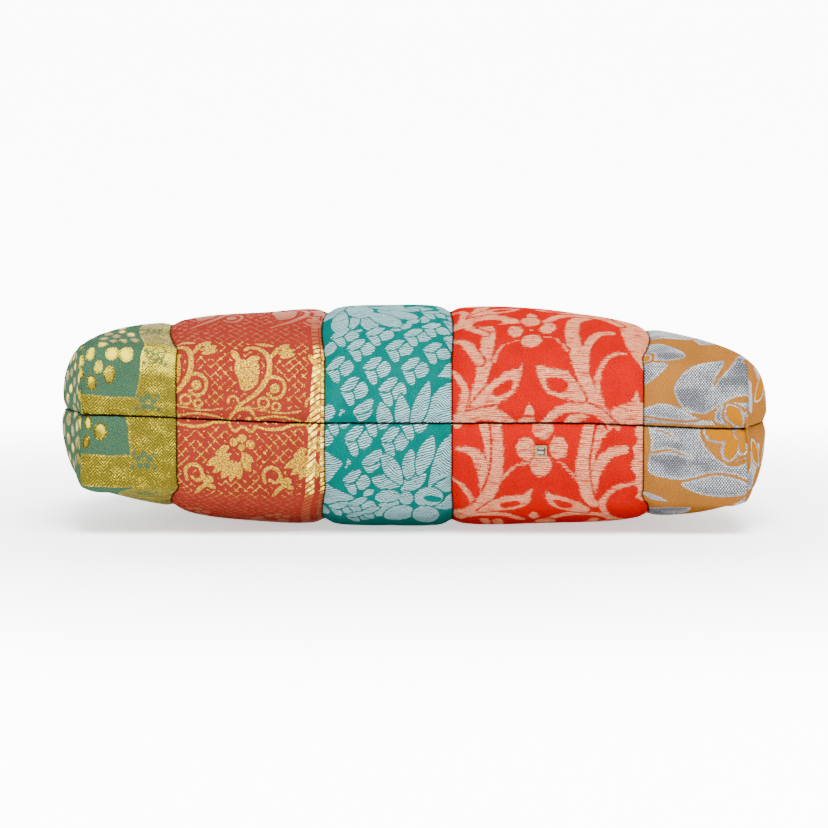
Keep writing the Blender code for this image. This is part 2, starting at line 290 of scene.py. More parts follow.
def clothRow(across, along, side, offset=0.0, stitched=True, lowest=0.0):
    move = gathers(across, along) + offset
    if stitched:
        fade = 1.0 - smooth(along - halfDepth, pouch["taperStart"], pouch["taperEnd"])
        stripDip = pouch["seamDip"] * np.exp(-((seamDistance(across) / pouch["seamRoll"]) ** 2))
        baseDip = pouch["bottomDip"] * math.exp(-((along / pouch["seamRoll"]) ** 2))
        corner = cornerDistance(across, along)
        cornerDip = clothLook["cornerDip"] * np.exp(-((corner / clothLook["cornerRoll"]) ** 2))
        move = move + puff(across) * fade * smooth(along, 0.0, halfDepth)
        move = move - np.maximum(np.maximum(stripDip, baseDip), cornerDip)
        move = move + puckers(across, along, side)
    point = smoothRow(across, along, side)
    point = point + outward(across, along, side) * move[:, None]
    point[:, 2] = np.maximum(point[:, 2], lowest)
    return point + settled


# drawing on the flat cloth: distances in millimetres, below zero inside a shape
class PatternSheet:
    def __init__(self, u, v):
        self.u, self.v = u, v
        self.layers = {}
        self.repeats = [(0.0, 0.0)]

    def draw(self, layer, shape):
        field = self.layers.get(layer, np.full_like(self.u, 20.0))
        for moveU, moveV in self.repeats:
            field = np.minimum(field, shape(self.u - moveU, self.v - moveV))
        self.layers[layer] = field

    def oval(self, layer, place, size, turn=0.0):
        self.draw(layer, lambda u, v: ovalDistance(u, v, place, size, turn))

    def ring(self, layer, place, size, width, turn=0.0):
        self.draw(layer, lambda u, v: np.abs(ovalDistance(u, v, place, size, turn)) - width / 2)

    def petal(self, layer, start, tip, width, full=0.55):
        self.draw(layer, lambda u, v: petalDistance(u, v, start, tip, width, full))

    def band(self, layer, width, *points):
        line = easyCurve(points)
        widths = np.interp(np.linspace(0, 1, len(line)), *taperOf(width))
        self.draw(layer, lambda u, v: bandDistance(u, v, line, widths))

    def outline(self, layer, *points):
        line = easyCurve(points, closed=True)
        self.draw(layer, lambda u, v: outlineDistance(u, v, line))


def taperOf(width):
    widths = np.atleast_1d(width)
    if len(widths) == 1:
        widths = np.repeat(widths, 2)
    return np.linspace(0, 1, len(widths)), widths


def easyCurve(points, closed=False, steps=4):
    # a smooth curve through the given points
    given = np.array(points, float)
    if closed:
        padded = np.concatenate([given[-1:], given, given[:2]])
    else:
        padded = np.concatenate([2 * given[:1] - given[1:2], given, 2 * given[-1:] - given[-2:-1]])
    curve = []
    for before, start, end, after in zip(padded, padded[1:], padded[2:], padded[3:]):
        for share in np.arange(steps) / steps:
            bend = 2 * before - 5 * start + 4 * end - after
            curve.append(
                start
                + 0.5 * share * (end - before)
                + 0.5 * share**2 * bend
                + 0.5 * share**3 * (3 * start - before - 3 * end + after)
            )
    return np.array(curve if closed else curve + [given[-1]])


def ovalDistance(u, v, place, size, turn):
    cos, sin = math.cos(math.radians(turn)), math.sin(math.radians(turn))
    x = (u - place[0]) * cos + (v - place[1]) * sin
    y = (v - place[1]) * cos - (u - place[0]) * sin
    wide, tall = size[0] / 2, size[1] / 2
    reach = np.maximum(np.hypot(x / wide, y / tall), 0.01)
    slope = np.hypot(x / wide**2, y / tall**2)
    return np.where(reach < 0.02, -min(wide, tall), reach * (reach - 1) / np.maximum(slope, 1e-6))


def petalDistance(u, v, start, tip, width, full):
    start, tip = np.array(start, float), np.array(tip, float)
    length = np.hypot(*(tip - start))
    way = (tip - start) / length
    run = ((u - start[0]) * way[0] + (v - start[1]) * way[1]) / length
    off = np.abs((v - start[1]) * way[0] - (u - start[0]) * way[1])
    share = np.clip(run, 0.0, 1.0)
    half = width / 2 * np.sin(math.pi * share ** (math.log(0.5) / math.log(full))) ** 0.75
    beyond = (np.abs(run - share)) * length
    return np.where(beyond > 0, np.hypot(beyond, off), off - half)


def bandDistance(u, v, line, widths):
    best = np.full_like(u, 20.0)
    for start, end, startWidth, endWidth in zip(line, line[1:], widths, widths[1:]):
        way = end - start
        share = ((u - start[0]) * way[0] + (v - start[1]) * way[1]) / max(way @ way, 1e-9)
        share = np.clip(share, 0.0, 1.0)
        off = np.hypot(u - start[0] - share * way[0], v - start[1] - share * way[1])
        best = np.minimum(best, off - (startWidth + (endWidth - startWidth) * share) / 2)
    return best


def outlineDistance(u, v, line):
    best = np.full_like(u, 400.0)
    inside = np.zeros(u.shape, bool)
    for start, end in zip(line, np.roll(line, -1, axis=0)):
        way = end - start
        share = ((u - start[0]) * way[0] + (v - start[1]) * way[1]) / max(way @ way, 1e-9)
        share = np.clip(share, 0.0, 1.0)
        best = np.minimum(
            best, np.hypot(u - start[0] - share * way[0], v - start[1] - share * way[1]),
        )
        crosses = (start[1] > v) != (end[1] > v)
        rise = way[1] if abs(way[1]) > 1e-9 else 1e-9
        inside ^= crosses & (u < start[0] + way[0] * (v - start[1]) / rise)
    return np.where(inside, -best, best)


def petalsAround(place, count, reach):
    for number in range(count):
        turn = math.radians(90 + 360 * number / count)
        petal = (place[0] + reach * math.cos(turn), place[1] + reach * math.sin(turn))
        yield petal, math.degrees(turn)


def goldPattern(sheet, side):
    # fans of woven discs on green, a gold band, and a column of small flowers
    far = 200.0
    if side == front:
        sheet.outline(
            "bands", (28, 8.0), (37, 7.4), (46.5, 7.0), (46.5, 0), (46.5, -4), (28, -4), (5, -4),
            (5, 6.4),
        )
        sheet.outline(
            "bands", (45.2, -4), (45.6, 7), (47.2, 15), (47.8, 24), (48.4, 33), (49.4, 45),
            (51, 70), (53, far), (75, far), (75, -4),
        )
        discs = (
            ((30.6, 12.6), (3.4, 6.2), 4), ((33, 18.6), (2.8, 5.6), -6),
            ((36.7, 16), (4.0, 7.0), -6),
            ((30.2, 23.4), (2.8, 4.8), -10), ((37.4, 24), (4.4, 5.2), 0),
            ((42.5, 24), (5.0, 6.0), 0),
            ((32.4, 28.4), (3.4, 5.0), 30), ((37, 31.4), (3.0, 4.6), -25),
            ((41, 31.8), (3.0, 4.8), -15),
            ((45.4, 32.4), (3.2, 5.2), -10), ((35, 36.5), (3.4, 5.2), -20),
            ((40, 38), (3.6, 5.4), -15),
            ((45.6, 39), (3.8, 5.6), -8), ((27, 15.8), (2.2, 4.6), 0), ((27, 21), (2.2, 4.4), 0),
        )
        centre, flowers = (44, 12), [(52.9, 23.6), (53.6, 42), (54.2, 60), (54.8, 78), (55.4, 96)]
        blots = [(50.2, 5.8)]
        turns, rings = (92, 214), [
            (22, 3.6), (26.4, 3.8), (31.4, 4.4), (36.8, 4.8), (42.6, 5.2), (49, 5.8), (56, 6.4),
            (64, 7), (73, 7.6),
        ]
    else:
        sheet.outline(
            "bands", (28, -13.8), (37, -14.4), (44.5, -14.8), (44.5, -25.5), (28, -25.6), (3, -25),
            (3, -13.2),
        )
        sheet.outline(
            "bands", (44.4, 4), (43, -5), (43.8, -14), (44, -26), (38.6, -30), (40.4, -40),
            (41, -56), (43, -far), (75, -far), (75, 4),
        )
        discs = (
            ((33.4, -5.8), (4.6, 6.4), 0), ((29.2, -3), (2.6, 5.2), 6),
            ((28.6, -9.6), (2.6, 5.4), -6),
            ((25.4, -5.6), (2.4, 4.6), 0), ((21.6, -3.6), (4.0, 4.8), 0),
            ((20.6, -9.6), (4.2, 5.0), 0), ((15.6, -6), (4.4, 5.2), 0),
        )
        centre, flowers = (46, -20), [(49.6, -51), (50.4, -69), (51.2, -87)]
        blots = [(48.6, -16), (49, -33.4)]
        turns, rings = (150, 275), [
            (34, 4.8), (40, 5.2), (46.4, 5.8), (53.4, 6.4), (61, 7), (69.6, 7.6),
        ]
    for place, size, turn in discs:
        sheet.oval("discs", place, size, turn)
    for place in flowers:
        for petal, _ in petalsAround(place, 5, 2.2):
            sheet.ring("flowers", petal, (2.3, 2.3), 0.7)
    for place in blots:
        for petal, turn in petalsAround(place, 5, 2.2):
            sheet.oval("flowers", petal, (2.2, 2.5), turn - 90)
    for place in flowers + blots:
        for leaf in ((-4.0, -2.6, 35), (3.9, -2.8, -35), (-3.7, 2.4, -35), (3.7, 2.6, 35)):
            sheet.oval("flowers", (place[0] + leaf[0], place[1] + leaf[1]), (1.3, 2.0), leaf[2])
    for reach, size in rings:
        count = int(math.radians(turns[1] - turns[0]) * reach / (size * 1.12))
        for number in range(count + 1):
            turn = math.radians(turns[0] + (turns[1] - turns[0]) * number / count)
            place = (centre[0] + reach * math.cos(turn), centre[1] + reach * math.sin(turn))
            if place[0] < 25 or abs(place[1]) > 42:
                sheet.oval("discs", place, (size * 0.74, size * 0.96), math.degrees(turn) + 90)


def roseFront(sheet):
    sheet.outline(
        "border", (50.3, -4), (50.4, 8), (50.9, 18), (51.5, 28), (51.9, 60), (51.9, 230),
        (54.9, 230), (54.9, 60), (54.8, 28), (54.6, 12), (54.4, -4),
    )
    sheet.repeats = [(-29.5, 0), (0, 0), (29.5, 0)]
    sheet.band(
        "leaves", (0.8, 1.3, 1.3, 0.8), (19.6, -0.6), (21, 2.4), (24, 4.8), (28, 4.4), (30.8, 0),
    )
    sheet.band("leaves", 0.9, (31, 1.2), (36, 2.2), (41, 2), (45, 1.2), (49, -0.4))
    sheet.band("leaves", 0.7, (27, 6), (33, 4.4), (40, 3.8), (47, 4.6))
    sheet.oval("leaves", (27, 0.8), (2.4, 2.0), 20)
    sheet.ring("leaves", (33, 7.6), (4.0, 3.8), 1.0)
    sheet.ring("leaves", (37.8, 6.4), (3.0, 2.8), 0.9)
    sheet.band("leaves", 1.0, (19.6, 6.8), (20.2, 9.4), (22.6, 9.6), (23.6, 7.4))
    sheet.repeats = [
        (moveU + 14.7 * number, 38.0 * number)
        for number in range(5)
        for moveU in (-59, -29.5, 0, 29.5)
    ]
    sheet.band(
        "leaves", (1.2, 1.3, 1.2, 1.1), (32.4, 14.2), (33.6, 16.6), (37.2, 17.8), (40.4, 16.2),
        (41, 13), (39.4, 10.2), (36.8, 9.6), (34.6, 11.2),
    )
    sheet.oval("leaves", (37.3, 13.4), (3.8, 3.8))
    sheet.band(
        "leaves", (0.9, 1.7, 2.0, 1.9, 1.6, 1.2), (22.6, 5.4), (27, 8.6), (31, 12), (34, 16.4),
        (35.2, 21), (34.4, 26), (31.6, 29.2), (28, 30), (25.4, 28.4),
    )
    sheet.outline(
        "blooms", (22, 20), (23.4, 16.6), (24.6, 12.6), (27, 12.2), (30.4, 14.6), (31.2, 18),
        (31.2, 21.6), (30, 24.6), (27, 24), (24, 24.4), (22.4, 23),
    )
    sheet.petal("blooms", (24, 23), (20.4, 28.4), 2.8)
    sheet.petal("blooms", (26.4, 24), (31.6, 25.4), 3.0)
    for start, tip, width in (
        ((9.0, 25.6), (15.2, 27.6), 2.2), ((8.6, 27.6), (15.4, 30.0), 2.4),
        ((9.6, 29.8), (13.4, 31.6), 1.8),
        ((38.0, 27.2), (44.4, 30.2), 2.2), ((37.8, 29.6), (43.4, 32.8), 2.2),
        ((40.0, 26.4), (44.8, 28.0), 1.6),
    ):
        sheet.petal("leaves", start, tip, width)
    sheet.petal("leaves", (29.4, 32.2), (37.4, 31.4), 1.8)
    sheet.petal("leaves", (35.4, 25), (38.6, 31), 1.8)
    for bar in range(6):
        sheet.band(
            "cuts", 0.34, (22, 14.2 + 1.9 * bar), (27, 13.4 + 1.9 * bar), (31.4, 14.8 + 1.9 * bar),
        )


def roseBack(sheet):
    sheet.outline(
        "border", (49.9, 4), (49.6, -8), (48.9, -18), (48.2, -28), (47.8, -60), (47.8, -230),
        (51.4, -230), (51.6, -60), (52.2, -26), (53, -12), (53.4, 4),
    )
    sheet.repeats = [(-29.5, 0), (0, 0), (29.5, 0)]
    sheet.band("leaves", (0.8, 1.2, 0.8), (0, -1.4), (4, -2.6), (10, -2.4), (14, -1.0), (20, -0.6))
    sheet.band("leaves", 1.0, (20, -1.6), (22, -3.8), (25, -2.0), (28.2, -3.8), (30, -1.6))
    sheet.repeats = [
        (moveU - 14.7 * number, -38.0 * number)
        for number in range(5)
        for moveU in (-29.5, 0, 29.5, 59)
    ]
    for start, tip, width in (
        ((21.4, -11.6), (11.2, -16.6), 3.2), ((20.6, -13.4), (13.6, -19.4), 2.4),
        ((21.6, -13.8), (16.8, -21.4), 2.8),
        ((22.6, -14.2), (20.2, -22.4), 2.6), ((23.6, -14), (23.6, -21.6), 2.6),
        ((24.4, -12.6), (28, -18.4), 2.8),
        ((24, -11), (29.2, -14.8), 2.6), ((19.6, -10.6), (14.6, -12.4), 2.6),
        ((20.4, -9.4), (16.4, -10.4), 2.0),
    ):
        sheet.petal("blooms", start, tip, width, 0.6)
    for place, size in (
        ((21.6, -7.8), (3.0, 3.2)), ((24.8, -6.2), (3.4, 3.0)), ((28, -8.4), (3.4, 3.2)),
        ((24.6, -9.6), (2.6, 2.4)),
    ):
        sheet.oval("leaves", place, size)
    sheet.band(
        "leaves", (1.2, 1.4, 1.4, 1.2), (33.4, -22.6), (32.8, -19), (34.8, -16.6), (38, -17.2),
        (39.2, -20.2), (37.4, -22.6), (35.2, -21.2),
    )
    sheet.band(
        "leaves", (1.4, 1.6, 1.8, 1.2), (39.2, -20.6), (40.4, -23.6), (38, -26), (36.2, -29),
    )
    sheet.petal("leaves", (39.8, -20.6), (43.6, -22.4), 2.4)
    sheet.petal("leaves", (40.6, -23.4), (44.2, -25.6), 2.2)
    for bar in range(3):
        sheet.band(
            "cuts", 0.3, (12.6 + 2 * bar, -15.6 - 1.2 * bar), (19.6 + bar, -12.4 - 0.6 * bar),
        )


def rosePattern(sheet, side):
    # scrolling vines with spirals, between a stepped border and a trellis
    (roseFront if side == front else roseBack)(sheet)
    sheet.repeats = [(0.0, 0.0)]


def tealPattern(sheet, side):
    # clusters of three lobes on a slanting lattice, with a lotus every few rows
    lobes = {
        "first": (
            (-5, 0.2), (-3, 3.1), (-0.8, 4.9), (2.1, 5), (1.9, 3.5), (0.6, 1.5), (-0.8, 0.2),
            (-1.7, -0.3),
        ),
        "second": (
            (-5, -0.1), (-2.8, -0.8), (-0.9, -0.4), (0.2, -2.4), (0.2, -5.7), (-1.9, -5.7),
            (-3.3, -3.1), (-4.2, -1.4),
        ),
        "third": (
            (0.4, 0.2), (2.5, 2.8), (4.4, 2.8), (5.7, 0), (4.2, -2.5), (2.5, -3.4), (0.8, -3),
            (0.2, -0.8),
        ),
    }
    if side == front:
        whole = [
            (11, 13), (25.5, 12.7), (5.5, 22), (19.6, 21.3), (34, 21), (13.6, 30.5), (28, 30),
            (42.3, 29.5),
        ]
        whole += [(8, 38), (21, 38), (35, 37.7), (41.8, 44), (49.8, 38), (49.6, 52), (41.6, 59)]
        partly, tulip, lattice, lotus = [
            (-1.5, 4.5), (-0.7, 32.5),
        ], (10.8, 4.4), (41.6, 59), (6.5, 66)
    else:
        whole = [
            (12.5, -6), (26.3, -6.5), (5, 1.6), (19.6, 1.2), (33.6, 0), (11.7, -22.3), (14, -35),
            (7, -38.4), (19, -41), (13.6, -45),
        ]
        partly, tulip, lattice, lotus = [(-2.2, -5.5)], (14.0, -14.8), (13.6, -45), (31, -29)
    # past what the photo shows, the lattice goes on wherever no lotus is
    steps = (-2, -1, 0, 1, 2)
    lotuses = [
        (lotus[0] + 48 * over - 24 * up, lotus[1] + 83 * up)
        for over in steps
        for up in steps
    ]
    for over in range(-12, 13):
        for up in range(-26, 27):
            place = (lattice[0] + 14.25 * over + 8.4 * up, lattice[1] - 0.4 * over + 8.6 * up)
            hidden = place[1] > 64 if side == front else place[1] < -50
            clear = all(
                not (-16 < place[0] - u < 26 and -26 < place[1] - v < 20)
                for u, v in lotuses
            )
            if hidden and clear and -8 < place[0] < 56 and abs(place[1]) < 224:
                whole.append(place)
    for layer, lobe in lobes.items():
        sheet.repeats = whole + partly if layer == "third" else whole
        sheet.outline(layer, *lobe)
    sheet.repeats = [tulip]
    sheet.outline(
        "first", (0, 0.2), (3, 3.6), (6.8, 5.2), (7.9, 4.8), (7.2, 2), (4.8, 0), (1.8, -0.5),
    )
    sheet.outline(
        "second", (0, -0.2), (2.2, -0.8), (4.8, -0.4), (7.5, 1.5), (6.8, -1), (4.2, -3.2),
        (2.2, -3.4), (1.2, -1.8),
    )
    sheet.repeats = [
        (-4.3, 0.6), (-4.9, -1.2), (-3.5, 0.2),
    ] if side == front else [(-5.1, 1), (-5.7, -1.2), (-4.4, 0.2)]
    sheet.repeats = [(tulip[0] + u, tulip[1] + v) for u, v in sheet.repeats]
    sheet.oval("third", (0, 0), (1.0, 1.8), -12)
    sheet.repeats = [(0.0, 0.0)]
    if side == front:
        for layer, begin, tip, width, full in (
            ("first", (24.4, -5), (21.4, 8.6), 6.0, 0.5),
            ("second", (30.6, -6), (29.0, 11.6), 6.0, 0.5),
            ("first", (33, -4), (39.8, 16.6), 5.6, 0.5),
            ("first", (6.4, 40.6), (7.2, 60), 6.4, 0.35),
            ("second", (7.6, 41.2), (13.6, 52), 6.6, 0.4),
            ("third", (18.8, 40.6), (15.6, 56), 6.6, 0.4),
            ("first", (29, 44), (16.6, 57), 8.4, 0.42), ("second", (35.4, 52), (20, 60), 8.4, 0.4),
            ("third", (38.6, 64), (19, 66), 9.0, 0.4), ("first", (12, 56), (9, 68), 5.0, 0.4),
            ("second", (29.6, 42), (33, 47.6), 3.4, 0.45),
            ("first", (31.2, 47), (36.2, 50.6), 3.4, 0.5),
            ("third", (37.6, 48), (38.4, 55.6), 3.8, 0.4),
        ):
            sheet.petal(layer, begin, tip, width, full)
        sheet.outline(
            "second", (36.2, -6), (37, 2), (40, 9), (44, 14), (49, 17), (54, 16), (56, 4),
            (50, -6),
        )
        sheet.outline(
            "third", (42.8, 18.6), (44.6, 20.4), (46, 23.6), (48.6, 25.8), (52, 25), (52, 19.8),
            (46, 18.2),
        )
        sheet.oval("third", (13.9, 41), (2.4, 1.8))
        sheet.oval("third", (27.4, 41.6), (4.2, 1.8), -10)
        sheet.repeats = [(-24.5, 103), (23.5, 103), (-48.5, 178), (-0.5, 178)]
    drawLotus(sheet)
    if side == back:
        sheet.outline(
            "first", (-1, -11), (3, -12), (6.4, -14), (6.6, -15.5), (4, -19), (1, -24), (-1, -25),
        )
        sheet.outline(
            "second", (-1, -25.6), (3, -26), (7, -27.6), (11.2, -30.2), (8, -33), (4, -35.6),
            (-1, -37),
        )
        sheet.outline("first", (-1, -39), (1.6, -41), (2.8, -43.4), (1.4, -47), (-1, -50))
        sheet.petal("second", (14.6, -29), (18.6, -25.6), 3.2, 0.5)
        sheet.repeats = [(-24, -83), (24, -83), (0, -166), (-48, -166)]
        drawLotus(sheet)
    sheet.repeats = [(0.0, 0.0)]


def drawLotus(sheet):
    for layer, begin, tip, width, full in (
        ("first", (29.6, -23.6), (22.2, -11), 6.2, 0.55),
        ("second", (31.6, -21.4), (33, -9.2), 5.6, 0.5),
        ("first", (35.4, -19.4), (41.2, -4.2), 6.2, 0.5),
        ("second", (28.8, -24.4), (17.8, -20.6), 6.4, 0.55),
        ("third", (28.6, -31), (20, -38.6), 6.4, 0.5),
        ("third", (29.0, -26.4), (38.6, -18.6), 6.4, 0.5),
    ):
        sheet.petal(layer, begin, tip, width, full)
    sheet.oval("first", (23.9, -29.4), (9.6, 7.0), 12)
    sheet.oval("second", (28.4, -42), (10.4, 14.6), -22)
    sheet.oval("first", (31.1, -30.6), (5.2, 8.2))
    sheet.oval("second", (39.5, -30.6), (11.0, 11.6))
    sheet.oval("cuts", (41, -31.5), (7.5, 3.8), -25)
    sheet.oval("first", (38.4, -44), (9.8, 16.6), 6)
    sheet.outline(
        "second", (39.6, -24.6), (40.6, -17), (43, -9.6), (46, -5.6), (50, -3.6), (54, -10),
        (50, -20), (44, -21.6),
    )
    sheet.outline(
        "third", (41.8, -24.8), (45, -21.6), (48, -20.8), (54, -22), (54, -30), (48, -29.6),
        (44.6, -27.4),
    )
    sheet.outline(
        "third", (41.4, -37.4), (45, -34.4), (47, -31.5), (54, -31), (54, -42), (47, -42),
        (44, -39.5),
    )


def scarletFront(sheet):
    for place, size, turn in (
        ((23, 41), (5.6, 8.6), 12), ((35, 43.3), (6.0, 9.0), -14), ((29.5, 34.6), (8.0, 8.4), 0),
        ((28.5, 48.8), (7.6, 7.8), 0),
    ):
        sheet.oval("cream", place, size, turn)
    sheet.oval("trunks", (28.7, 41.8), (1.6, 1.8))
    sheet.band("vines", (1.6, 1.1, 0.8), (16, 25), (18.4, 31), (21.6, 34), (26.4, 35.4))
    sheet.band("vines", (0.8, 1.1, 1.4), (33.6, 36.8), (37.4, 36.2), (41, 32.6), (44, 28.6))
    sheet.outline(
        "cream", (26.8, 23.8), (25.2, 21.6), (21, 20.4), (16, 17), (10.6, 12), (6.6, 6.4),
        (12, 6.8), (17.6, 8), (22.2, 10.8), (25, 14.6), (26.4, 19),
    )
    sheet.outline(
        "cream", (32.4, 22.6), (32.8, 18), (35.2, 12.8), (41, 9.8), (50.6, 8.8), (48, 15),
        (44, 19.8), (38.4, 21.2),
    )
    sheet.outline(
        "cuts", (15.2, 11.8), (16.6, 14), (20.4, 16.6), (22.9, 16.6), (22.8, 14.6), (20.4, 12),
        (17.4, 10.8),
    )
    sheet.outline(
        "cuts", (35.4, 16.6), (38, 17.6), (42.4, 16.8), (44, 14), (41.4, 12.2), (37.6, 13),
    )
    sheet.petal("vines", (29.4, -1.5), (29.2, 8.2), 4.2, 0.45)
    sheet.outline(
        "vines", (-1, -3), (2.4, 2.8), (7.6, 5.4), (14, 6.2), (19.4, 4.6), (25.4, -0.6),
        (25.6, -3),
    )
    sheet.oval("cuts", (12.8, -1.6), (11.0, 5.6))
    sheet.band(
        "vines", (3.4, 4.4, 3.4), (34.6, -1), (39.6, 4.4), (46.4, 6.5), (54, 5.2), (61.6, -0.8),
    )
    sheet.band(
        "trunks", (4.4, 5.6, 5.2, 4.0), (8, 6.8), (11, 17), (12.5, 25), (13.2, 35), (13, 42),
        (10, 50), (6, 57.4),
    )
    sheet.band("vines", (4.2, 4.4, 1.6), (10.4, 25), (7.2, 31), (4.4, 35.4), (0.2, 39.2))
    sheet.band("vines", (3.0, 3.2, 1.4), (12, 40), (8, 43.4), (4.6, 47.4), (0.8, 53))
    sheet.petal("vines", (12.8, 50.6), (17.6, 66.5), 5.4, 0.6)
    sheet.band("vines", (2.6, 3.6, 2.2), (2, -1), (4, 8), (4.8, 13.4), (0.6, 21.4))
    sheet.band(
        "trunks", (4.6, 5.6, 5.0), (58, 3), (53.4, 10), (49.4, 19), (47.2, 27), (44.6, 36),
        (43.8, 42), (45, 50), (52, 56),
    )
    sheet.band(
        "trunks", (3.8, 4.0, 2.6), (50, 19), (50.8, 30), (52.4, 37.6), (55, 41), (58.6, 41.6),
    )
    sheet.band(
        "trunks", (2.8, 2.0, 1.4), (58.4, 2.6), (55.4, 11.6), (55.2, 18), (57.8, 24), (62, 27.8),
        (66.4, 28.6),
    )
    sheet.outline(
        "trunks", (61.4, 57), (61.2, 48), (61.8, 42), (64.2, 35.4), (67, 30.4), (70, 26),
        (74, 20.8), (78, 30), (78, 57),
    )
    sheet.petal("trunks", (68.4, -1.6), (69.9, 13.8), 5.6, 0.36)


def scarletBack(sheet):
    for place, size, turn in (
        ((34.4, -1.8), (8.2, 8.2), 0), ((28, -9.2), (7.6, 8.6), 8), ((40.4, -9), (7.2, 8.6), -8),
        ((33.8, -15.2), (8.2, 8.2), 0),
    ):
        sheet.oval("cream", place, size, turn)
    sheet.band(
        "vines", (4.0, 5.0, 5.6, 6.0), (16.5, 1), (17.3, -8), (17.1, -16), (15.8, -22),
        (13.8, -28), (11, -34), (7, -40), (1.6, -47.4),
    )
    sheet.band("trunks", (3.8, 3.4, 1.4), (11.6, 1), (13.4, -6), (14.3, -14), (14.6, -22))
    sheet.band("trunks", (2.0, 4.8, 3.8), (2.4, -9.4), (8, -10.6), (11.4, -16), (12.6, -26))
    sheet.band("trunks", (1.6, 2.6, 2.6), (-1, -22), (4, -25), (7, -30), (8.2, -37))
    sheet.band(
        "vines", (4.2, 5.2, 4.6), (52.4, 1), (50.8, -6), (49.5, -14), (50, -20), (51.5, -26),
        (53.4, -33),
    )
    sheet.band("trunks", (4.2, 3.2, 2.0), (59.6, 1), (55.4, -5), (52.8, -13), (51, -20))
    sheet.band(
        "trunks", (3.6, 4.4, 3.2), (65.4, -8.8), (60.4, -10.2), (56.4, -14), (54, -20),
        (53.6, -26),
    )
    sheet.band(
        "vines", (1.6, 2.8, 2.4), (70.4, -21.2), (64, -22.4), (60, -25.6), (56.8, -32),
        (56.4, -40), (58.4, -46), (63, -51),
    )
    sheet.outline(
        "vines", (70.6, 1), (69.2, -3), (70.4, -5.2), (68.2, -8.4), (69.2, -12), (67.6, -15.2),
        (69.6, -18.4), (69, -21), (70.8, -25), (70.2, -29), (72, -33), (77, -33), (77, 1),
    )
    sheet.band("vines", (1.4, 1.1, 0.8), (19.4, -20), (23, -16.2), (26.6, -14.6), (30.4, -13.8))
    sheet.band("vines", (0.8, 1.1, 1.4), (37.4, -13.8), (41, -14.4), (45, -17.4), (48.4, -21.6))
    sheet.outline(
        "cream", (30.6, -24), (30.4, -28), (29, -32.6), (24, -36.8), (17, -38.6), (9, -40.4),
        (12.6, -34), (17, -29.8), (22, -27.8), (27, -27.2),
    )
    sheet.outline(
        "cream", (36, -24.6), (38, -26.8), (43, -28.4), (47.6, -31.4), (51, -36), (50, -41),
        (44, -39.8), (38.6, -36.4), (35.9, -31),
    )
    sheet.outline(
        "cuts", (18.2, -33.4), (20.6, -31.8), (24.6, -31.2), (25.6, -32.6), (23, -35),
        (19.2, -35.8),
    )
    sheet.outline("cuts", (38.6, -31), (42, -31), (45.2, -33.6), (44, -36.4), (40.8, -36))
    sheet.band(
        "vines", (3.2, 4.2, 3.2), (2, -50.6), (6, -44.2), (13, -41.4), (20, -42.4), (25.4, -48),
    )
    sheet.band(
        "vines", (3.2, 4.2, 3.2), (35, -49), (40.4, -43.6), (48, -41.6), (55, -43.4), (60, -50.4),
    )
    sheet.petal("vines", (30, -48), (29.8, -39.4), 4.2, 0.45)


def scarletPattern(sheet, side):
    # a large cream damask: flowers and split leaves between waving trunks
    sheet.repeats = [(0.0, 50.0 * number * side) for number in range(-1, 6)]
    (scarletFront if side == front else scarletBack)(sheet)
    sheet.repeats = [(0.0, 0.0)]


def silverFront(sheet):
    sheet.outline(
        "leaves", (11.2, 13.6), (12.2, 18.6), (16.6, 23.2), (22.6, 25.6), (30, 26.6), (38, 26.4),
        (50, 27), (50, 13), (37, 13), (31, 11.6), (26.4, 8.6), (22.6, 6.0), (19, 5.8), (14.4, 7.6),
    )
    sheet.band("cuts", (0.2, 1.2, 2.8), (25, 15.6), (26.6, 20), (31.6, 26.8))
    sheet.outline(
        "leaves", (0.8, 7.2), (6, 9.2), (12, 8.2), (17.2, 5), (20.4, 3.8), (13, 3.0), (1, 4.2),
        (-3, 5),
    )
    sheet.band("buds", (2.4, 2.6, 1.2), (-2, 2.2), (8, 2.7), (16, 2.6), (22, 2.2), (31, 2.6))
    sheet.outline(
        "leaves", (25.6, 3.6), (26.6, 8), (29.4, 10.4), (34, 10), (40, 9), (40, 1), (33, 1.4),
        (28, 1.8),
    )
    sheet.petal("blossoms", (34.8, 0.6), (30.4, 9), 4.4, 0.6)
    sheet.petal("blossoms", (46, 2), (37, 6), 5.0)
    sheet.petal("buds", (-12, 37), (16.4, 28.8), 13.0, 0.5)
    sheet.outline("leaves", (-2, 26), (5, 25.4), (9, 24.6), (5, 20), (-2, 15.6))
    sheet.oval("blossoms", (0.8, 28.6), (3.4, 2.2), -20)
    sheet.outline(
        "leaves", (-3, 46), (8, 45), (15, 47.6), (18.4, 54), (18, 62), (12, 68), (3, 64), (-3, 60),
    )
    sheet.petal("buds", (18.6, 43), (23, 68), 11.0, 0.5)
    sheet.band("buds", (2.8, 3.6, 3.0), (36.6, 26), (36.6, 40), (39, 58), (42, 80), (44, 100))
    sheet.petal("leaves", (41, 42), (56, 68), 13.0, 0.5)
    sheet.petal("blossoms", (46, 54), (54, 40), 7.0, 0.5)
    sheet.petal("leaves", (60, 34), (47, 28), 8.0, 0.5)
    sheet.repeats = [(6.0, 52.0), (-4.0, 104.0), (8.0, 156.0)]


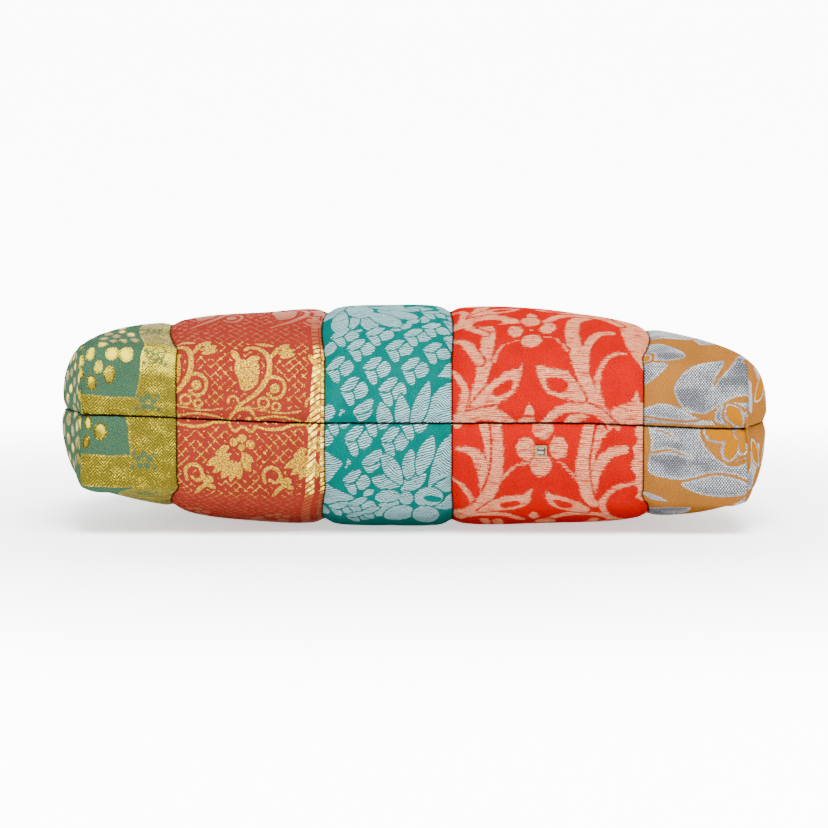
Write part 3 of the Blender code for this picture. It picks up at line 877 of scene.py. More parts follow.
def silverBack(sheet):
    sheet.oval("blossoms", (27.4, -1.6), (9.2, 5.2), -4)
    sheet.oval("blossoms", (31.2, -7.0), (3.9, 7.6), -14)
    sheet.oval("blossoms", (34.2, -1.5), (2.2, 2.6))
    sheet.oval("blossoms", (35.0, -5.6), (1.9, 5.4), 8)
    sheet.oval("blossoms", (37.8, -2.6), (4.0, 6.0), 40)
    sheet.outline(
        "leaves", (2.6, 4), (2.8, -6), (1.8, -16.4), (8, -18.6), (14.6, -18.8), (20, -17.4),
        (26, -15.8), (33, -16.6), (40, -19), (40, -11.4), (32.6, -13.6), (28.4, -12.2), (24, -8.4),
        (20.6, -3), (19.6, 4),
    )
    sheet.outline(
        "buds", (21, 4), (22.2, -2.6), (26.6, -4.6), (29, -4.8), (29, -9.6), (32, -12.2),
        (35, -10.6), (40, -10), (40, 4),
    )
    sheet.band("cuts", (0.4, 0.9, 0.4), (3.4, -1.2), (8, -2.0), (12, -4.2))
    sheet.band("cuts", (0.8, 1.2, 0.5), (2.6, -9.8), (7, -8.7), (11, -8.8), (17.4, -10.8))
    sheet.petal("buds", (13.6, -20.6), (44, -20.6), 8.0, 0.46)
    sheet.petal("leaves", (0, -26.4), (10, -29.4), 3.4, 0.4)
    sheet.petal("leaves", (-4, -52), (16, -38), 12.0, 0.5)
    sheet.band("buds", (3.2, 3.8, 3.0), (37, -26), (37.6, -40), (40, -56), (43, -80))
    sheet.petal("leaves", (44, -28), (58, -48), 11.0, 0.5)
    sheet.petal("blossoms", (60, -38), (50, -46), 6.0, 0.5)
    sheet.repeats = [(5.0, -50.0), (-4.0, -102.0), (6.0, -154.0)]


def silverPattern(sheet, side):
    # broad silvery leaves with thin brown veins, and an orange blossom by the corner
    (silverFront if side == front else silverBack)(sheet)
    sheet.petal("leaves", (4, 0), (26, 16 * side), 15.0, 0.5)
    sheet.petal("buds", (24, -4 * side), (44, 14 * side), 12.0, 0.5)
    sheet.petal("blossoms", (46, 2 * side), (54, 14 * side), 6.0, 0.5)
    sheet.band("cuts", (0.6, 1.1, 0.6), (8, 2 * side), (15, 6 * side), (22, 12 * side))
    sheet.repeats = [(0.0, 0.0)]


patterns = {
    "gold": (goldPattern, ("bands", "discs", "flowers")),
    "rose": (rosePattern, ("border", "leaves", "blooms", "cuts")),
    "teal": (tealPattern, ("first", "second", "third", "cuts")),
    "scarlet": (scarletPattern, ("cream", "vines", "trunks", "cuts")),
    "silver": (silverPattern, ("leaves", "buds", "blossoms", "cuts")),
}


# node trees
class Wiring:
    def __init__(self, tree):
        self.tree = tree

    def add(self, kind, inputs=None, **settings):
        made = self.tree.nodes.new(kind)
        for name, value in settings.items():
            setattr(made, name, value)
        for key, value in (inputs or {}).items():
            self.give(made.inputs[key], value)
        return made

    def give(self, socket, value):
        if isinstance(value, bpy.types.NodeSocket):
            self.tree.links.new(value, socket)
        else:
            socket.default_value = value

    def sum(self, operation, *values, clamp=False):
        inputs = dict(enumerate(values))
        return self.add("ShaderNodeMath", inputs, operation=operation, use_clamp=clamp).outputs[0]

    def ramp(self, value, fromLow, fromHigh, toLow=0.0, toHigh=1.0):
        inputs = {0: value, 1: fromLow, 2: fromHigh, 3: toLow, 4: toHigh}
        return self.add("ShaderNodeMapRange", inputs, interpolation_type="SMOOTHSTEP").outputs[0]

    def blend(self, share, first, second, blendType="MIX"):
        node = self.add("ShaderNodeMix", None, data_type="RGBA", blend_type=blendType)
        for key, value in ((0, share), (6, first), (7, second)):
            self.give(node.inputs[key], value)
        return node.outputs[2]

    def noise(self, vector, stretch, detail=2.0):
        placed = self.add(
            "ShaderNodeVectorMath", {0: vector, 1: stretch}, operation="MULTIPLY",
        ).outputs[0]
        return self.add(
            "ShaderNodeTexNoise", {"Vector": placed, "Scale": 1.0, "Detail": detail},
        ).outputs[0]

    def parts(self, vector):
        return self.add("ShaderNodeSeparateXYZ", {0: vector}).outputs

    def group(self, name, inputs):
        return self.add("ShaderNodeGroup", inputs, node_tree=bpy.data.node_groups[name]).outputs

    def edge(self, flat, field, **look):
        return self.group("threadEdge", {"Flat": flat, "Field": field, **look})[0]

    def rows(self, flat, **look):
        return self.group("weftRows", {"Flat": flat, **look})


def newGroup(name, inputs, outputs):
    tree = bpy.data.node_groups.new(name, "ShaderNodeTree")
    for label, kind, value in inputs:
        socket = tree.interface.new_socket(label, in_out="INPUT", socket_type=kind)
        if value is not None:
            socket.default_value = value
    for label in outputs:
        tree.interface.new_socket(label, in_out="OUTPUT", socket_type="NodeSocketFloat")
    wire = Wiring(tree)
    given = wire.add("NodeGroupInput").outputs
    return wire, given, wire.add("NodeGroupOutput").inputs


def buildGroups():
    number, vector = "NodeSocketFloat", "NodeSocketVector"

    # rows of weft thread: a rounded profile, and a value that changes from row to row
    wire, given, out = newGroup(
        "weftRows",
        [
            ("Flat", vector, None), ("Pitch", number, 0.6), ("Slant", number, 0.0),
            ("Wander", number, 0.3),
        ],
        ["Profile", "Row"],
    )
    place = wire.parts(given["Flat"])
    wander = wire.sum("MULTIPLY", wire.noise(given["Flat"], (0.35, 0.35, 0.0)), given["Wander"])
    height = wire.sum("ADD", wire.sum("MULTIPLY", place[0], given["Slant"]), place[1])
    rows = wire.sum("DIVIDE", wire.sum("ADD", height, wander), given["Pitch"])
    wire.give(out["Profile"], wire.sum("MULTIPLY", wire.sum("PINGPONG", rows, 0.5), 2.0))
    rowPlace = wire.add(
        "ShaderNodeCombineXYZ",
        {0: wire.sum("MULTIPLY", place[0], 0.22), 1: wire.sum("FLOOR", rows)},
    )
    rowNoise = wire.noise(rowPlace.outputs[0], (1.0, 7.3, 1.0), 1.0)
    wire.give(out["Row"], rowNoise)

    # plain ground weave: warp and weft crossing
    wire, given, out = newGroup(
        "groundWeave",
        [("Flat", vector, None), ("Warp", number, 0.42), ("Weft", number, 0.36)],
        ["Height", "Fleck"],
    )
    place = wire.parts(given["Flat"])
    warp = wire.sum(
        "SINE", wire.sum("MULTIPLY", wire.sum("DIVIDE", place[0], given["Warp"]), math.pi),
    )
    weft = wire.sum(
        "SINE", wire.sum("MULTIPLY", wire.sum("DIVIDE", place[1], given["Weft"]), math.pi),
    )
    height = wire.sum("MULTIPLY_ADD", wire.sum("MULTIPLY", warp, weft), 0.5, 0.5)
    wire.give(out["Height"], height)
    fleck = wire.noise(given["Flat"], (1.9, 4.2, 0.0), 2.0)
    wire.give(out["Fleck"], fleck)

    # a motif's edge, stepped where the threads turn back
    wire, given, out = newGroup(
        "threadEdge",
        [
            ("Flat", vector, None), ("Field", number, 1.0), ("Step", number, 0.37),
            ("Ragged", number, 0.3), ("Soft", number, 0.14),
        ],
        ["Mask"],
    )
    place = wire.parts(given["Flat"])
    row = wire.sum("FLOOR", wire.sum("DIVIDE", place[1], given["Step"]))
    rowPlace = wire.add("ShaderNodeCombineXYZ", {0: wire.sum("MULTIPLY", place[0], 0.5), 1: row})
    jitter = wire.sum("SUBTRACT", wire.noise(rowPlace.outputs[0], (1.0, 5.7, 1.0), 1.0), 0.5)
    moved = wire.sum("MULTIPLY_ADD", jitter, given["Ragged"], given["Field"])
    soft = given["Soft"]
    mask = wire.add(
        "ShaderNodeMapRange",
        {0: moved, 1: wire.sum("MULTIPLY", soft, -1.0), 2: soft, 3: 1.0, 4: 0.0},
        interpolation_type="SMOOTHSTEP",
    ).outputs[0]
    wire.give(out["Mask"], mask)

    # three layers of shapes with a fine line of ground kept between them
    wire, given, out = newGroup(
        "layeredField",
        [
            ("First", number, 20.0), ("Second", number, 20.0), ("Third", number, 20.0),
            ("Cuts", number, 20.0), ("Line", number, 0.5),
        ],
        ["Field"],
    )
    second = wire.sum(
        "MAXIMUM", given["Second"], wire.sum("SUBTRACT", given["Line"], given["First"]),
    )
    above = wire.sum("MINIMUM", given["First"], given["Second"])
    third = wire.sum("MAXIMUM", given["Third"], wire.sum("SUBTRACT", given["Line"], above))
    joined = wire.sum("MINIMUM", wire.sum("MINIMUM", given["First"], second), third)
    cut = wire.sum("MAXIMUM", joined, wire.sum("MULTIPLY", given["Cuts"], -1.0))
    wire.give(out["Field"], cut)

    # slow colour change over the cloth
    wire, given, out = newGroup(
        "clothMottle",
        [("Flat", vector, None), ("Size", number, 12.0), ("Depth", number, 0.2)],
        ["Shade"],
    )
    place = wire.add(
        "ShaderNodeVectorMath", {0: given["Flat"], 3: wire.sum("DIVIDE", 1.0, given["Size"])},
        operation="SCALE",
    )
    slow = wire.add(
        "ShaderNodeTexNoise", {"Vector": place.outputs[0], "Scale": 1.0, "Detail": 3.0},
    ).outputs[0]
    shade = wire.sum(
        "ADD", 1.0, wire.sum("MULTIPLY", wire.sum("SUBTRACT", slow, 0.5), given["Depth"]),
    )
    wire.give(out["Shade"], shade)

    # painted shade in the seams: the long one along the base is the deepest
    wire, given, out = newGroup("seamShade", [("Flat", vector, None)], ["Shade"])
    place = wire.parts(given["Flat"])
    ragged = wire.sum("MULTIPLY", wire.noise(given["Flat"], (0.5, 0.5, 0.0), 2.0), 0.5)
    base = wire.sum("SUBTRACT", wire.sum("ABSOLUTE", place[1]), ragged)
    base = wire.ramp(base, 0.0, 0.32, 0.05, 1.0)
    strip = wire.ramp(place[2], 0.05, 0.6, 0.16, 1.0)
    wire.give(out["Shade"], wire.sum("MULTIPLY", base, strip))


def tint(colour):
    return tuple(colour) + (1.0,)


def newMaterial(name, sheen=0.0):
    material = bpy.data.materials.new(name)
    material.use_nodes = True
    wire = Wiring(material.node_tree)
    shader = material.node_tree.nodes["Principled BSDF"]
    shader.inputs["Specular IOR Level"].default_value = sheen  # threads scatter light
    return material, wire, shader


def brocade(name):
    # the nodes that all brocades share: place on the cloth and the motif fields
    material, wire, shader = newMaterial(f"{name}_brocade")
    flat = wire.add("ShaderNodeAttribute", attribute_name="flat").outputs["Vector"]
    fields = {
        layer: wire.add("ShaderNodeAttribute", attribute_name="motif_" + layer).outputs["Fac"]
        for layer in patterns[name][1]
    }
    weave = wire.group("groundWeave", {"Flat": flat})
    return material, wire, shader, flat, fields, weave


def finish(wire, shader, colour, roughness, metallic, height, distance, strength):
    bump = wire.add(
        "ShaderNodeBump", {"Height": height, "Strength": strength, "Distance": distance},
    )
    given = {
        "Base Color": colour, "Roughness": roughness, "Metallic": metallic,
        "Normal": bump.outputs[0],
    }
    for socket, value in given.items():
        wire.give(shader.inputs[socket], value)


def darker(wire, colour, amount):
    # multiplies a colour by a value that changes over the cloth
    grey = wire.add("ShaderNodeCombineColor", {0: amount, 1: amount, 2: amount}).outputs[0]
    return wire.blend(1.0, colour, grey, "MULTIPLY")


def wovenGround(wire, flat, fleck, look):
    # flecks of a darker thread, and a slow change of shade
    fleck = wire.ramp(fleck, *look["flecks"])
    ground = wire.blend(fleck, tint(look["groundDark"]), tint(look["ground"]))
    patches = {"Flat": flat, "Size": look["patchSize"], "Depth": look["patchDepth"]}
    return darker(wire, ground, wire.group("clothMottle", patches)[0])


def finishBrocade(wire, shader, flat, weave, look, colour, mask, threads):
    # raised threads where the motif is, over the plain weave
    raised = wire.sum("MULTIPLY", mask, wire.sum("MULTIPLY_ADD", threads, *look["raised"]))
    height = wire.sum("ADD", raised, wire.sum("MULTIPLY", weave["Height"], look["weaveRelief"]))
    # little light comes out of the seams
    colour = darker(wire, colour, wire.group("seamShade", {"Flat": flat})[0])
    roughness = wire.ramp(mask, 0, 1, *look["roughness"])
    metal = wire.sum("MULTIPLY", mask, look["metallic"]) if look["metallic"] else 0.0
    finish(wire, shader, colour, roughness, metal, height, look["bumpDepth"], 0.5)


def tealBrocade():
    look = dict(
        ground=(0.0004, 0.080, 0.070), groundDark=(0.0003, 0.048, 0.040),
        thread=(0.22, 0.35, 0.36), shade=(0.014, 0.054, 0.058),
        flecks=(0.35, 0.68), patchSize=9.0, patchDepth=0.4, raised=(0.8, 0.6), weaveRelief=0.3,
        bumpDepth=0.00016, roughness=(0.62, 0.42), metallic=0.0,
    )
    material, wire, shader, flat, fields, weave = brocade("teal")
    field = wire.group("layeredField", {
        "First": fields["first"], "Second": fields["second"], "Third": fields["third"],
        "Cuts": fields["cuts"], "Line": 0.62,
    })[0]
    mask = wire.edge(flat, field, Ragged=0.5)
    # the petals' rows of thread slope one way or the other
    level = wire.rows(flat, Pitch=0.92, Slant=-0.30, Wander=1.4)
    steep = wire.rows(flat, Pitch=1.15, Slant=0.95, Wander=1.6)
    lean = wire.ramp(wire.noise(flat, (0.09, 0.09, 0.0), 0.0), 0.48, 0.52)
    petals = wire.sum("MULTIPLY", lean, wire.ramp(field, -2.2, -1.4, 1.0, 0.0))
    profile = wire.add("ShaderNodeMix", {0: petals, 2: level[0], 3: steep[0]}).outputs[0]
    bright = wire.ramp(wire.sum("MULTIPLY_ADD", level[1], 0.6, profile), 0.58, 1.2)
    threads = wire.blend(bright, tint(look["shade"]), tint(look["thread"]))
    colour = wire.blend(mask, wovenGround(wire, flat, weave["Fleck"], look), threads)
    finishBrocade(wire, shader, flat, weave, look, colour, mask, profile)
    return material


def scarletBrocade():
    look = dict(
        ground=(0.280, 0.0, 0.0), groundDark=(0.160, 0.0, 0.0),
        thread=(0.62, 0.27, 0.14), shade=(0.17, 0.030, 0.014),
        flecks=(0.34, 0.66), patchSize=11.0, patchDepth=0.4, raised=(0.5, 0.8), weaveRelief=0.35,
        bumpDepth=0.0002, roughness=(0.6, 0.5), metallic=0.0,
    )
    material, wire, shader, flat, fields, weave = brocade("scarlet")
    field = wire.group("layeredField", {
        "First": fields["cream"], "Second": fields["vines"], "Third": fields["trunks"],
        "Cuts": fields["cuts"], "Line": 0.45,
    })[0]
    mask = wire.edge(flat, field, Step=0.62, Ragged=2.6, Soft=0.2)
    rows = wire.rows(flat, Pitch=0.78, Slant=0.04, Wander=0.9)
    # worn silk: threads missing in the motif, and loose ones lying over the ground
    streak = wire.noise(flat, (0.17, 1.7, 0.0), 3.0)
    mask = wire.sum("MULTIPLY", mask, wire.ramp(streak, 0.50, 0.62, 1.0, 0.25))
    stray = wire.ramp(wire.noise(flat, (0.13, 1.6, 3.0), 2.0), 0.60, 0.70, 0.0, 0.42)
    mask = wire.sum(
        "MAXIMUM", mask, wire.sum("MULTIPLY", stray, wire.ramp(field, 0.2, 3.0, 1.0, 0.35)),
    )
    fine = wire.noise(flat, (0.42, 2.4, 7.0), 2.0)
    bright = wire.ramp(
        wire.sum("MULTIPLY_ADD", fine, 1.5, wire.sum("MULTIPLY", rows[0], 0.35)), 0.70, 1.24,
    )
    bright = wire.sum("MULTIPLY", bright, wire.ramp(field, -0.75, -0.1, 1.0, 0.45))
    threads = wire.blend(bright, tint(look["shade"]), tint(look["thread"]))
    colour = wire.blend(mask, wovenGround(wire, flat, weave["Fleck"], look), threads)
    finishBrocade(wire, shader, flat, weave, look, colour, mask, rows[0])
    return material


def roseBrocade():
    look = dict(
        ground=(0.165, 0.0170, 0.0110), groundDark=(0.095, 0.0098, 0.0066),
        gold=(0.29, 0.145, 0.004), goldShade=(0.105, 0.034, 0.004), bright=(0.98, 0.74, 0.10),
        dimGold=(0.175, 0.048, 0.010), trellis=3.7, wire=0.34,
        flecks=(0.34, 0.68), patchSize=8.0, patchDepth=0.4, raised=(0.5, 0.7), weaveRelief=0.3,
        bumpDepth=0.00016, roughness=(0.6, 0.38), metallic=0.2,
    )
    material, wire, shader, flat, fields, weave = brocade("rose")
    place = wire.parts(flat)
    motif = wire.group("layeredField", {
        "First": fields["leaves"], "Second": fields["blooms"], "Cuts": fields["cuts"], "Line": 0.5,
    })[0]
    clear = wire.sum("MINIMUM", motif, wire.sum("SUBTRACT", fields["border"], 0.4))
    # the trellis: two slanting sets of broken wires with knots where they cross
    slopes = []
    for sign in (1.0, -1.0):
        slant = wire.sum("MULTIPLY_ADD", place[0], sign, place[1])
        slopes.append(wire.sum("PINGPONG", slant, look["trellis"] / 2))
    lines = wire.sum(
        "SUBTRACT", wire.sum("MULTIPLY", wire.sum("MINIMUM", *slopes), 0.7), look["wire"] / 2,
    )
    knots = wire.sum("SUBTRACT", wire.sum("MULTIPLY", wire.sum("ADD", *slopes), 0.5), 0.5)
    missing = wire.ramp(wire.noise(flat, (0.5, 0.5, 0.0), 1.0), 0.50, 0.62, 0.0, 0.5)
    trellis = wire.sum(
        "MAXIMUM", wire.sum("MINIMUM", lines, knots), wire.sum("SUBTRACT", 1.0, clear),
    )
    trellis = wire.sum("ADD", trellis, missing)
    field = wire.sum("MINIMUM", motif, trellis)
    # the stepped border, its red edge line and the squares beside the seam
    steps = wire.sum("PINGPONG", wire.sum("MULTIPLY_ADD", place[0], -0.8, place[1]), 1.3)
    stepped = wire.sum(
        "MAXIMUM", wire.sum("ADD", fields["border"], 0.3), wire.sum("SUBTRACT", 0.42, steps),
    )
    squares = wire.sum("SUBTRACT", 0.32, wire.sum("PINGPONG", place[1], 1.2))
    squares = wire.sum(
        "MAXIMUM", squares,
        wire.sum("SUBTRACT", wire.sum("MULTIPLY_ADD", place[1], 0.012, 54.6), place[0]),
    )
    blocks = wire.sum("MINIMUM", stepped, squares)
    blocks = wire.edge(flat, blocks, Step=0.3, Ragged=0.12, Soft=0.08)
    mask = wire.edge(flat, field, Step=0.46, Ragged=0.6, Soft=0.12)
    rows = wire.rows(flat, Pitch=0.56, Slant=0.6, Wander=0.2)
    grain = wire.noise(flat, (1.3, 2.4, 0.0), 2.0)
    glint = wire.ramp(wire.sum("MULTIPLY_ADD", rows[0], 0.35, grain), 0.44, 0.92)
    gold = wire.blend(glint, tint(look["goldShade"]), tint(look["gold"]))
    # painted glints: a few gold threads are painted bright
    gold = wire.blend(
        wire.ramp(wire.sum("MULTIPLY", grain, rows[0]), 0.43, 0.50), gold, tint(look["bright"]),
    )
    lit = wire.ramp(
        wire.sum("MULTIPLY_ADD", wire.noise(flat, (0.5, 0.35, 0.0), 1.0), 1.3, grain), 1.05, 1.3,
    )
    gold = wire.blend(blocks, gold, wire.blend(lit, tint(look["gold"]), tint(look["bright"])))
    mask = wire.sum("MAXIMUM", mask, blocks)
    ground = wovenGround(wire, flat, weave["Fleck"], look)
    # painted shade: far up the large faces the gold is painted dull and faint, as metal thread
    # reflects little light there
    paintedDimming = wire.ramp(wire.sum("ABSOLUTE", wire.sum("SUBTRACT", place[1], 2.0)), 28.0, 34.0)
    gold = wire.blend(paintedDimming, gold, tint(look["dimGold"]))
    colour = wire.blend(
        wire.sum("MULTIPLY", mask, wire.ramp(paintedDimming, 0.0, 1.0, 1.0, 0.6)), ground, gold,
    )
    finishBrocade(wire, shader, flat, weave, look, colour, mask, rows[0])
    return material


def goldBrocade():
    look = dict(
        ground=(0.038, 0.060, 0.021), groundDark=(0.009, 0.040, 0.033),
        gold=(0.110, 0.086, 0.007), goldShade=(0.042, 0.034, 0.005), bright=(0.50, 0.41, 0.018),
        disc=(0.090, 0.066, 0.005), rim=(0.030, 0.022, 0.004),
        bone=2.3, boneFloat=0.62,
        flecks=(0.42, 0.6), patchSize=10.0, patchDepth=0.35, raised=(0.6, 0.6), weaveRelief=0.3,
        bumpDepth=0.00016, roughness=(0.6, 0.4), metallic=0.2,
    )
    material, wire, shader, flat, fields, weave = brocade("gold")
    place = wire.parts(flat)
    discs, bands, flowers = (
        wire.edge(flat, fields[layer], Step=0.4, Ragged=ragged)
        for layer, ragged in (("discs", 0.4), ("bands", 0.8), ("flowers", 0.5))
    )
    gold = wire.sum(
        "SUBTRACT", wire.sum("MAXIMUM", discs, bands), wire.sum("MULTIPLY", flowers, 0.85),
        clamp=True,
    )
    # herringbone floats: the slant turns over from column to column
    fold = wire.sum("PINGPONG", place[0], look["bone"])
    bone = wire.sum("ADD", wire.sum("MULTIPLY", fold, 1.2), place[1])
    bone = wire.sum("PINGPONG", bone, look["boneFloat"])
    floats = wire.ramp(bone, 0.12, 0.5)
    patch = wire.noise(flat, (0.16, 0.30, 0.0), 1.0)
    grain = wire.noise(flat, (1.5, 3.2, 0.0), 1.0)
    glint = wire.ramp(wire.sum("MULTIPLY_ADD", floats, 0.27, grain), 0.44, 0.8)
    metal = wire.blend(glint, tint(look["goldShade"]), tint(look["gold"]))
    inner = wire.ramp(fields["discs"], -0.9, -0.3, 1.0, 0.0)
    metal = wire.blend(discs, metal, wire.blend(inner, tint(look["rim"]), tint(look["disc"])))
    # painted highlight: the band is painted brightest where it bends from the base to the face
    bend = wire.ramp(
        wire.sum("ABSOLUTE", wire.sum("SUBTRACT", place[1], 23.0)), 2.0, 9.0, 0.24, 0.0,
    )
    uneven = wire.sum("MULTIPLY_ADD", floats, 0.2, wire.sum("MULTIPLY_ADD", patch, 0.5, grain))
    shine = wire.ramp(wire.sum("ADD", uneven, bend), 0.98, 1.14)
    # painted highlights: some of the discs are painted lit, more of them near the bend
    chosen = wire.noise(flat, (0.12, 0.12, 0.0), 0.0)
    lit = wire.ramp(wire.sum("ADD", chosen, wire.sum("MULTIPLY", bend, 0.8)), 0.5, 0.68)
    speckled = wire.ramp(wire.sum("ADD", fields["discs"], grain), -0.5, 0.1, 1.0, 0.0)
    lit = wire.sum("MULTIPLY", wire.sum("MULTIPLY", lit, discs), speckled)
    metal = wire.blend(
        wire.sum("MULTIPLY", wire.sum("MAXIMUM", shine, lit), 0.9), metal, tint(look["bright"]),
    )
    ground = wovenGround(wire, flat, wire.noise(flat, (2.2, 2.2, 0.0), 1.0), look)
    edge = wire.ramp(
        wire.sum("ABSOLUTE", wire.sum("ADD", fields["bands"], 0.3)), 0.2, 0.6, 1.35, 1.0,
    )
    colour = wire.blend(gold, ground, darker(wire, metal, edge))
    finishBrocade(wire, shader, flat, weave, look, colour, gold, floats)
    return material


def silverBrocade():
    look = dict(
        ground=(0.205, 0.082, 0.013), groundDark=(0.105, 0.038, 0.008), silver=(0.50, 0.51, 0.52),
        shade=(0.030, 0.032, 0.038), orange=(0.225, 0.080, 0.0), orangeDark=(0.160, 0.053, 0.0),
        floatWidth=0.48, floatRow=0.33,
        flecks=(0.36, 0.66), patchSize=14.0, patchDepth=0.4, raised=(0.8, 0.4), weaveRelief=0.35,
        bumpDepth=0.00016, roughness=(0.58, 0.36), metallic=0.2,
    )
    material, wire, shader, flat, fields, weave = brocade("silver")
    place = wire.parts(flat)
    # each blossom petal keeps a silver outline, and the leaves keep clear of it
    apart = wire.sum("SUBTRACT", 2.0, fields["blossoms"])
    outline = wire.sum(
        "SUBTRACT", wire.sum("ABSOLUTE", wire.sum("SUBTRACT", fields["blossoms"], 0.8)), 0.45,
    )
    field = wire.group("layeredField", {
        "First": wire.sum("MAXIMUM", fields["leaves"], apart),
        "Second": wire.sum("MAXIMUM", fields["buds"], apart),
        "Third": outline, "Cuts": fields["cuts"], "Line": 1.0,
    })[0]
    mask = wire.edge(flat, field, Step=0.5, Ragged=0.9, Soft=0.2)
    petals = wire.edge(flat, fields["blossoms"], Step=0.4, Ragged=0.3)
    # silver floats: short bright stitches set in staggered rows
    row = wire.sum("FLOOR", wire.sum("DIVIDE", place[1], 2 * look["floatRow"]))
    stagger = wire.sum("MULTIPLY", row, look["floatWidth"])
    across = wire.sum("PINGPONG", wire.sum("ADD", place[0], stagger), look["floatWidth"])
    along = wire.sum("PINGPONG", place[1], look["floatRow"])
    speck = wire.sum("MULTIPLY", wire.ramp(across, 0.18, 0.36), wire.ramp(along, 0.05, 0.21))
    grain = wire.noise(flat, (0.9, 1.6, 0.0), 2.0)
    patch = wire.ramp(wire.noise(flat, (0.07, 0.13, 0.0), 1.0), 0.36, 0.64, 0.3, 1.1)
    edge = wire.sum("MULTIPLY", wire.ramp(field, -1.1, -0.4, 0.0, 0.22), grain)
    flash = wire.sum(
        "MULTIPLY", wire.sum("MULTIPLY", speck, patch), wire.ramp(grain, 0.3, 0.7, 0.35, 1.3),
    )
    shine = wire.sum("ADD", flash, edge, clamp=True)
    threads = wire.blend(shine, tint(look["shade"]), tint(look["silver"]))
    orange = wire.blend(
        wire.ramp(weave["Fleck"], 0.3, 0.7), tint(look["orangeDark"]), tint(look["orange"]),
    )
    ground = wovenGround(wire, flat, weave["Fleck"], look)
    colour = wire.blend(petals, wire.blend(mask, ground, threads), orange)
    silver = wire.sum("MULTIPLY", mask, wire.sum("SUBTRACT", 1.0, petals))
    finishBrocade(wire, shader, flat, weave, look, colour, silver, speck)
    return material


def plainCotton(name, ground, groundDark):
    look = dict(
        ground=ground, groundDark=groundDark, flecks=(0.3, 0.7), patchSize=16.0, patchDepth=0.25,
    )
    material, wire, shader = newMaterial(name)
    flat = wire.add("ShaderNodeAttribute", attribute_name="flat").outputs["Vector"]
    weave = wire.group("groundWeave", {"Flat": flat, "Warp": 0.5, "Weft": 0.5})
    tone = wovenGround(wire, flat, weave["Fleck"], look)
    finish(wire, shader, tone, 0.8, 0.0, weave["Height"], 0.0002, 0.6)
    return material


def threadMaterial():
    material, wire, shader = newMaterial("stitch_thread")
    place = wire.add("ShaderNodeTexCoord").outputs["Object"]
    ply = wire.noise(place, (900.0, 900.0, 900.0), 1.0)
    tone = wire.blend(
        wire.ramp(ply, 0.35, 0.65), tint((0.20, 0.13, 0.05)), tint((0.38, 0.28, 0.13)),
    )
    finish(wire, shader, tone, 0.55, 0.0, ply, 0.0001, 0.5)
    return material


def crystalMaterials():
    # the stone mirrors its surroundings, and a painted reflection adds to it: its lower half is
    # painted light, as the floor mirrored there, its upper half dark
    low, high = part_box("flower_crystal")
    middle = (low.z + high.z) / 2
    blur = 0.0002
    stone, wire, shader = newMaterial("crystal", 0.8)
    height = wire.parts(wire.add("ShaderNodeTexCoord").outputs["Object"])[2]
    paintedReflection = wire.ramp(height, middle - blur, middle + blur, 0.0, 1.0)
    tone = wire.blend(paintedReflection, tint((0.20, 0.17, 0.15)), tint((0.022, 0.013, 0.008)))
    wire.give(shader.inputs["Base Color"], tone)
    shader.inputs["Roughness"].default_value = 0.08
    shader.inputs["Metallic"].default_value = 0.8
    metal, wire, shader = newMaterial("setting_metal")
    place = wire.add("ShaderNodeTexCoord").outputs["Object"]
    wear = wire.noise(place, (1800.0, 1800.0, 1800.0), 2.0)
    tone = wire.blend(
        wire.ramp(wear, 0.35, 0.7), tint((0.10, 0.065, 0.03)), tint((0.26, 0.19, 0.09)),
    )
    finish(wire, shader, tone, wire.ramp(wear, 0.3, 0.7, 0.22, 0.4), 1.0, wear, 0.00005, 0.3)
    return {"flower_crystal": stone, "crystal_setting": metal}


# meshes
def placeObject(name, data):
    thing = bpy.data.objects.new(name, data)
    bpy.context.scene.collection.objects.link(thing)
    return thing


def newPiece(name, points, faces, flat, material):
    mesh = bpy.data.meshes.new(name)
    mesh.from_pydata(points.tolist(), [], faces)
    mesh.update()
    mesh.shade_smooth()
    spot = mesh.attributes.new("flat", "FLOAT_VECTOR", "POINT")
    spot.data.foreach_set("vector", np.ascontiguousarray(flat, np.float32).ravel())
    corners = np.empty(len(mesh.loops), np.int32)
    mesh.loops.foreach_get("vertex_index", corners)
    low, high = flat[:, :2].min(axis=0), flat[:, :2].max(axis=0)
    spread = ((flat[:, :2] - low) / (high - low))[corners]
    mesh.uv_layers.new(name="cloth").data.foreach_set(
        "uv", np.ascontiguousarray(spread, np.float32).ravel(),
    )
    mesh.materials.append(material)
    return placeObject(name, mesh)


def thicken(piece, thickness):
    solid = piece.modifiers.new("thickness", "SOLIDIFY")
    solid.thickness = thickness
    solid.offset = -1.0
    return piece


def even(low, high, cell):
    return np.linspace(low, high, max(round((high - low) / cell), 1) + 1)


def rowFaces(low, high, side):
    for column in range(len(low) - 1):
        quad = (low[column], low[column + 1], high[column + 1], high[column])
        yield quad if side == front else quad[::-1]


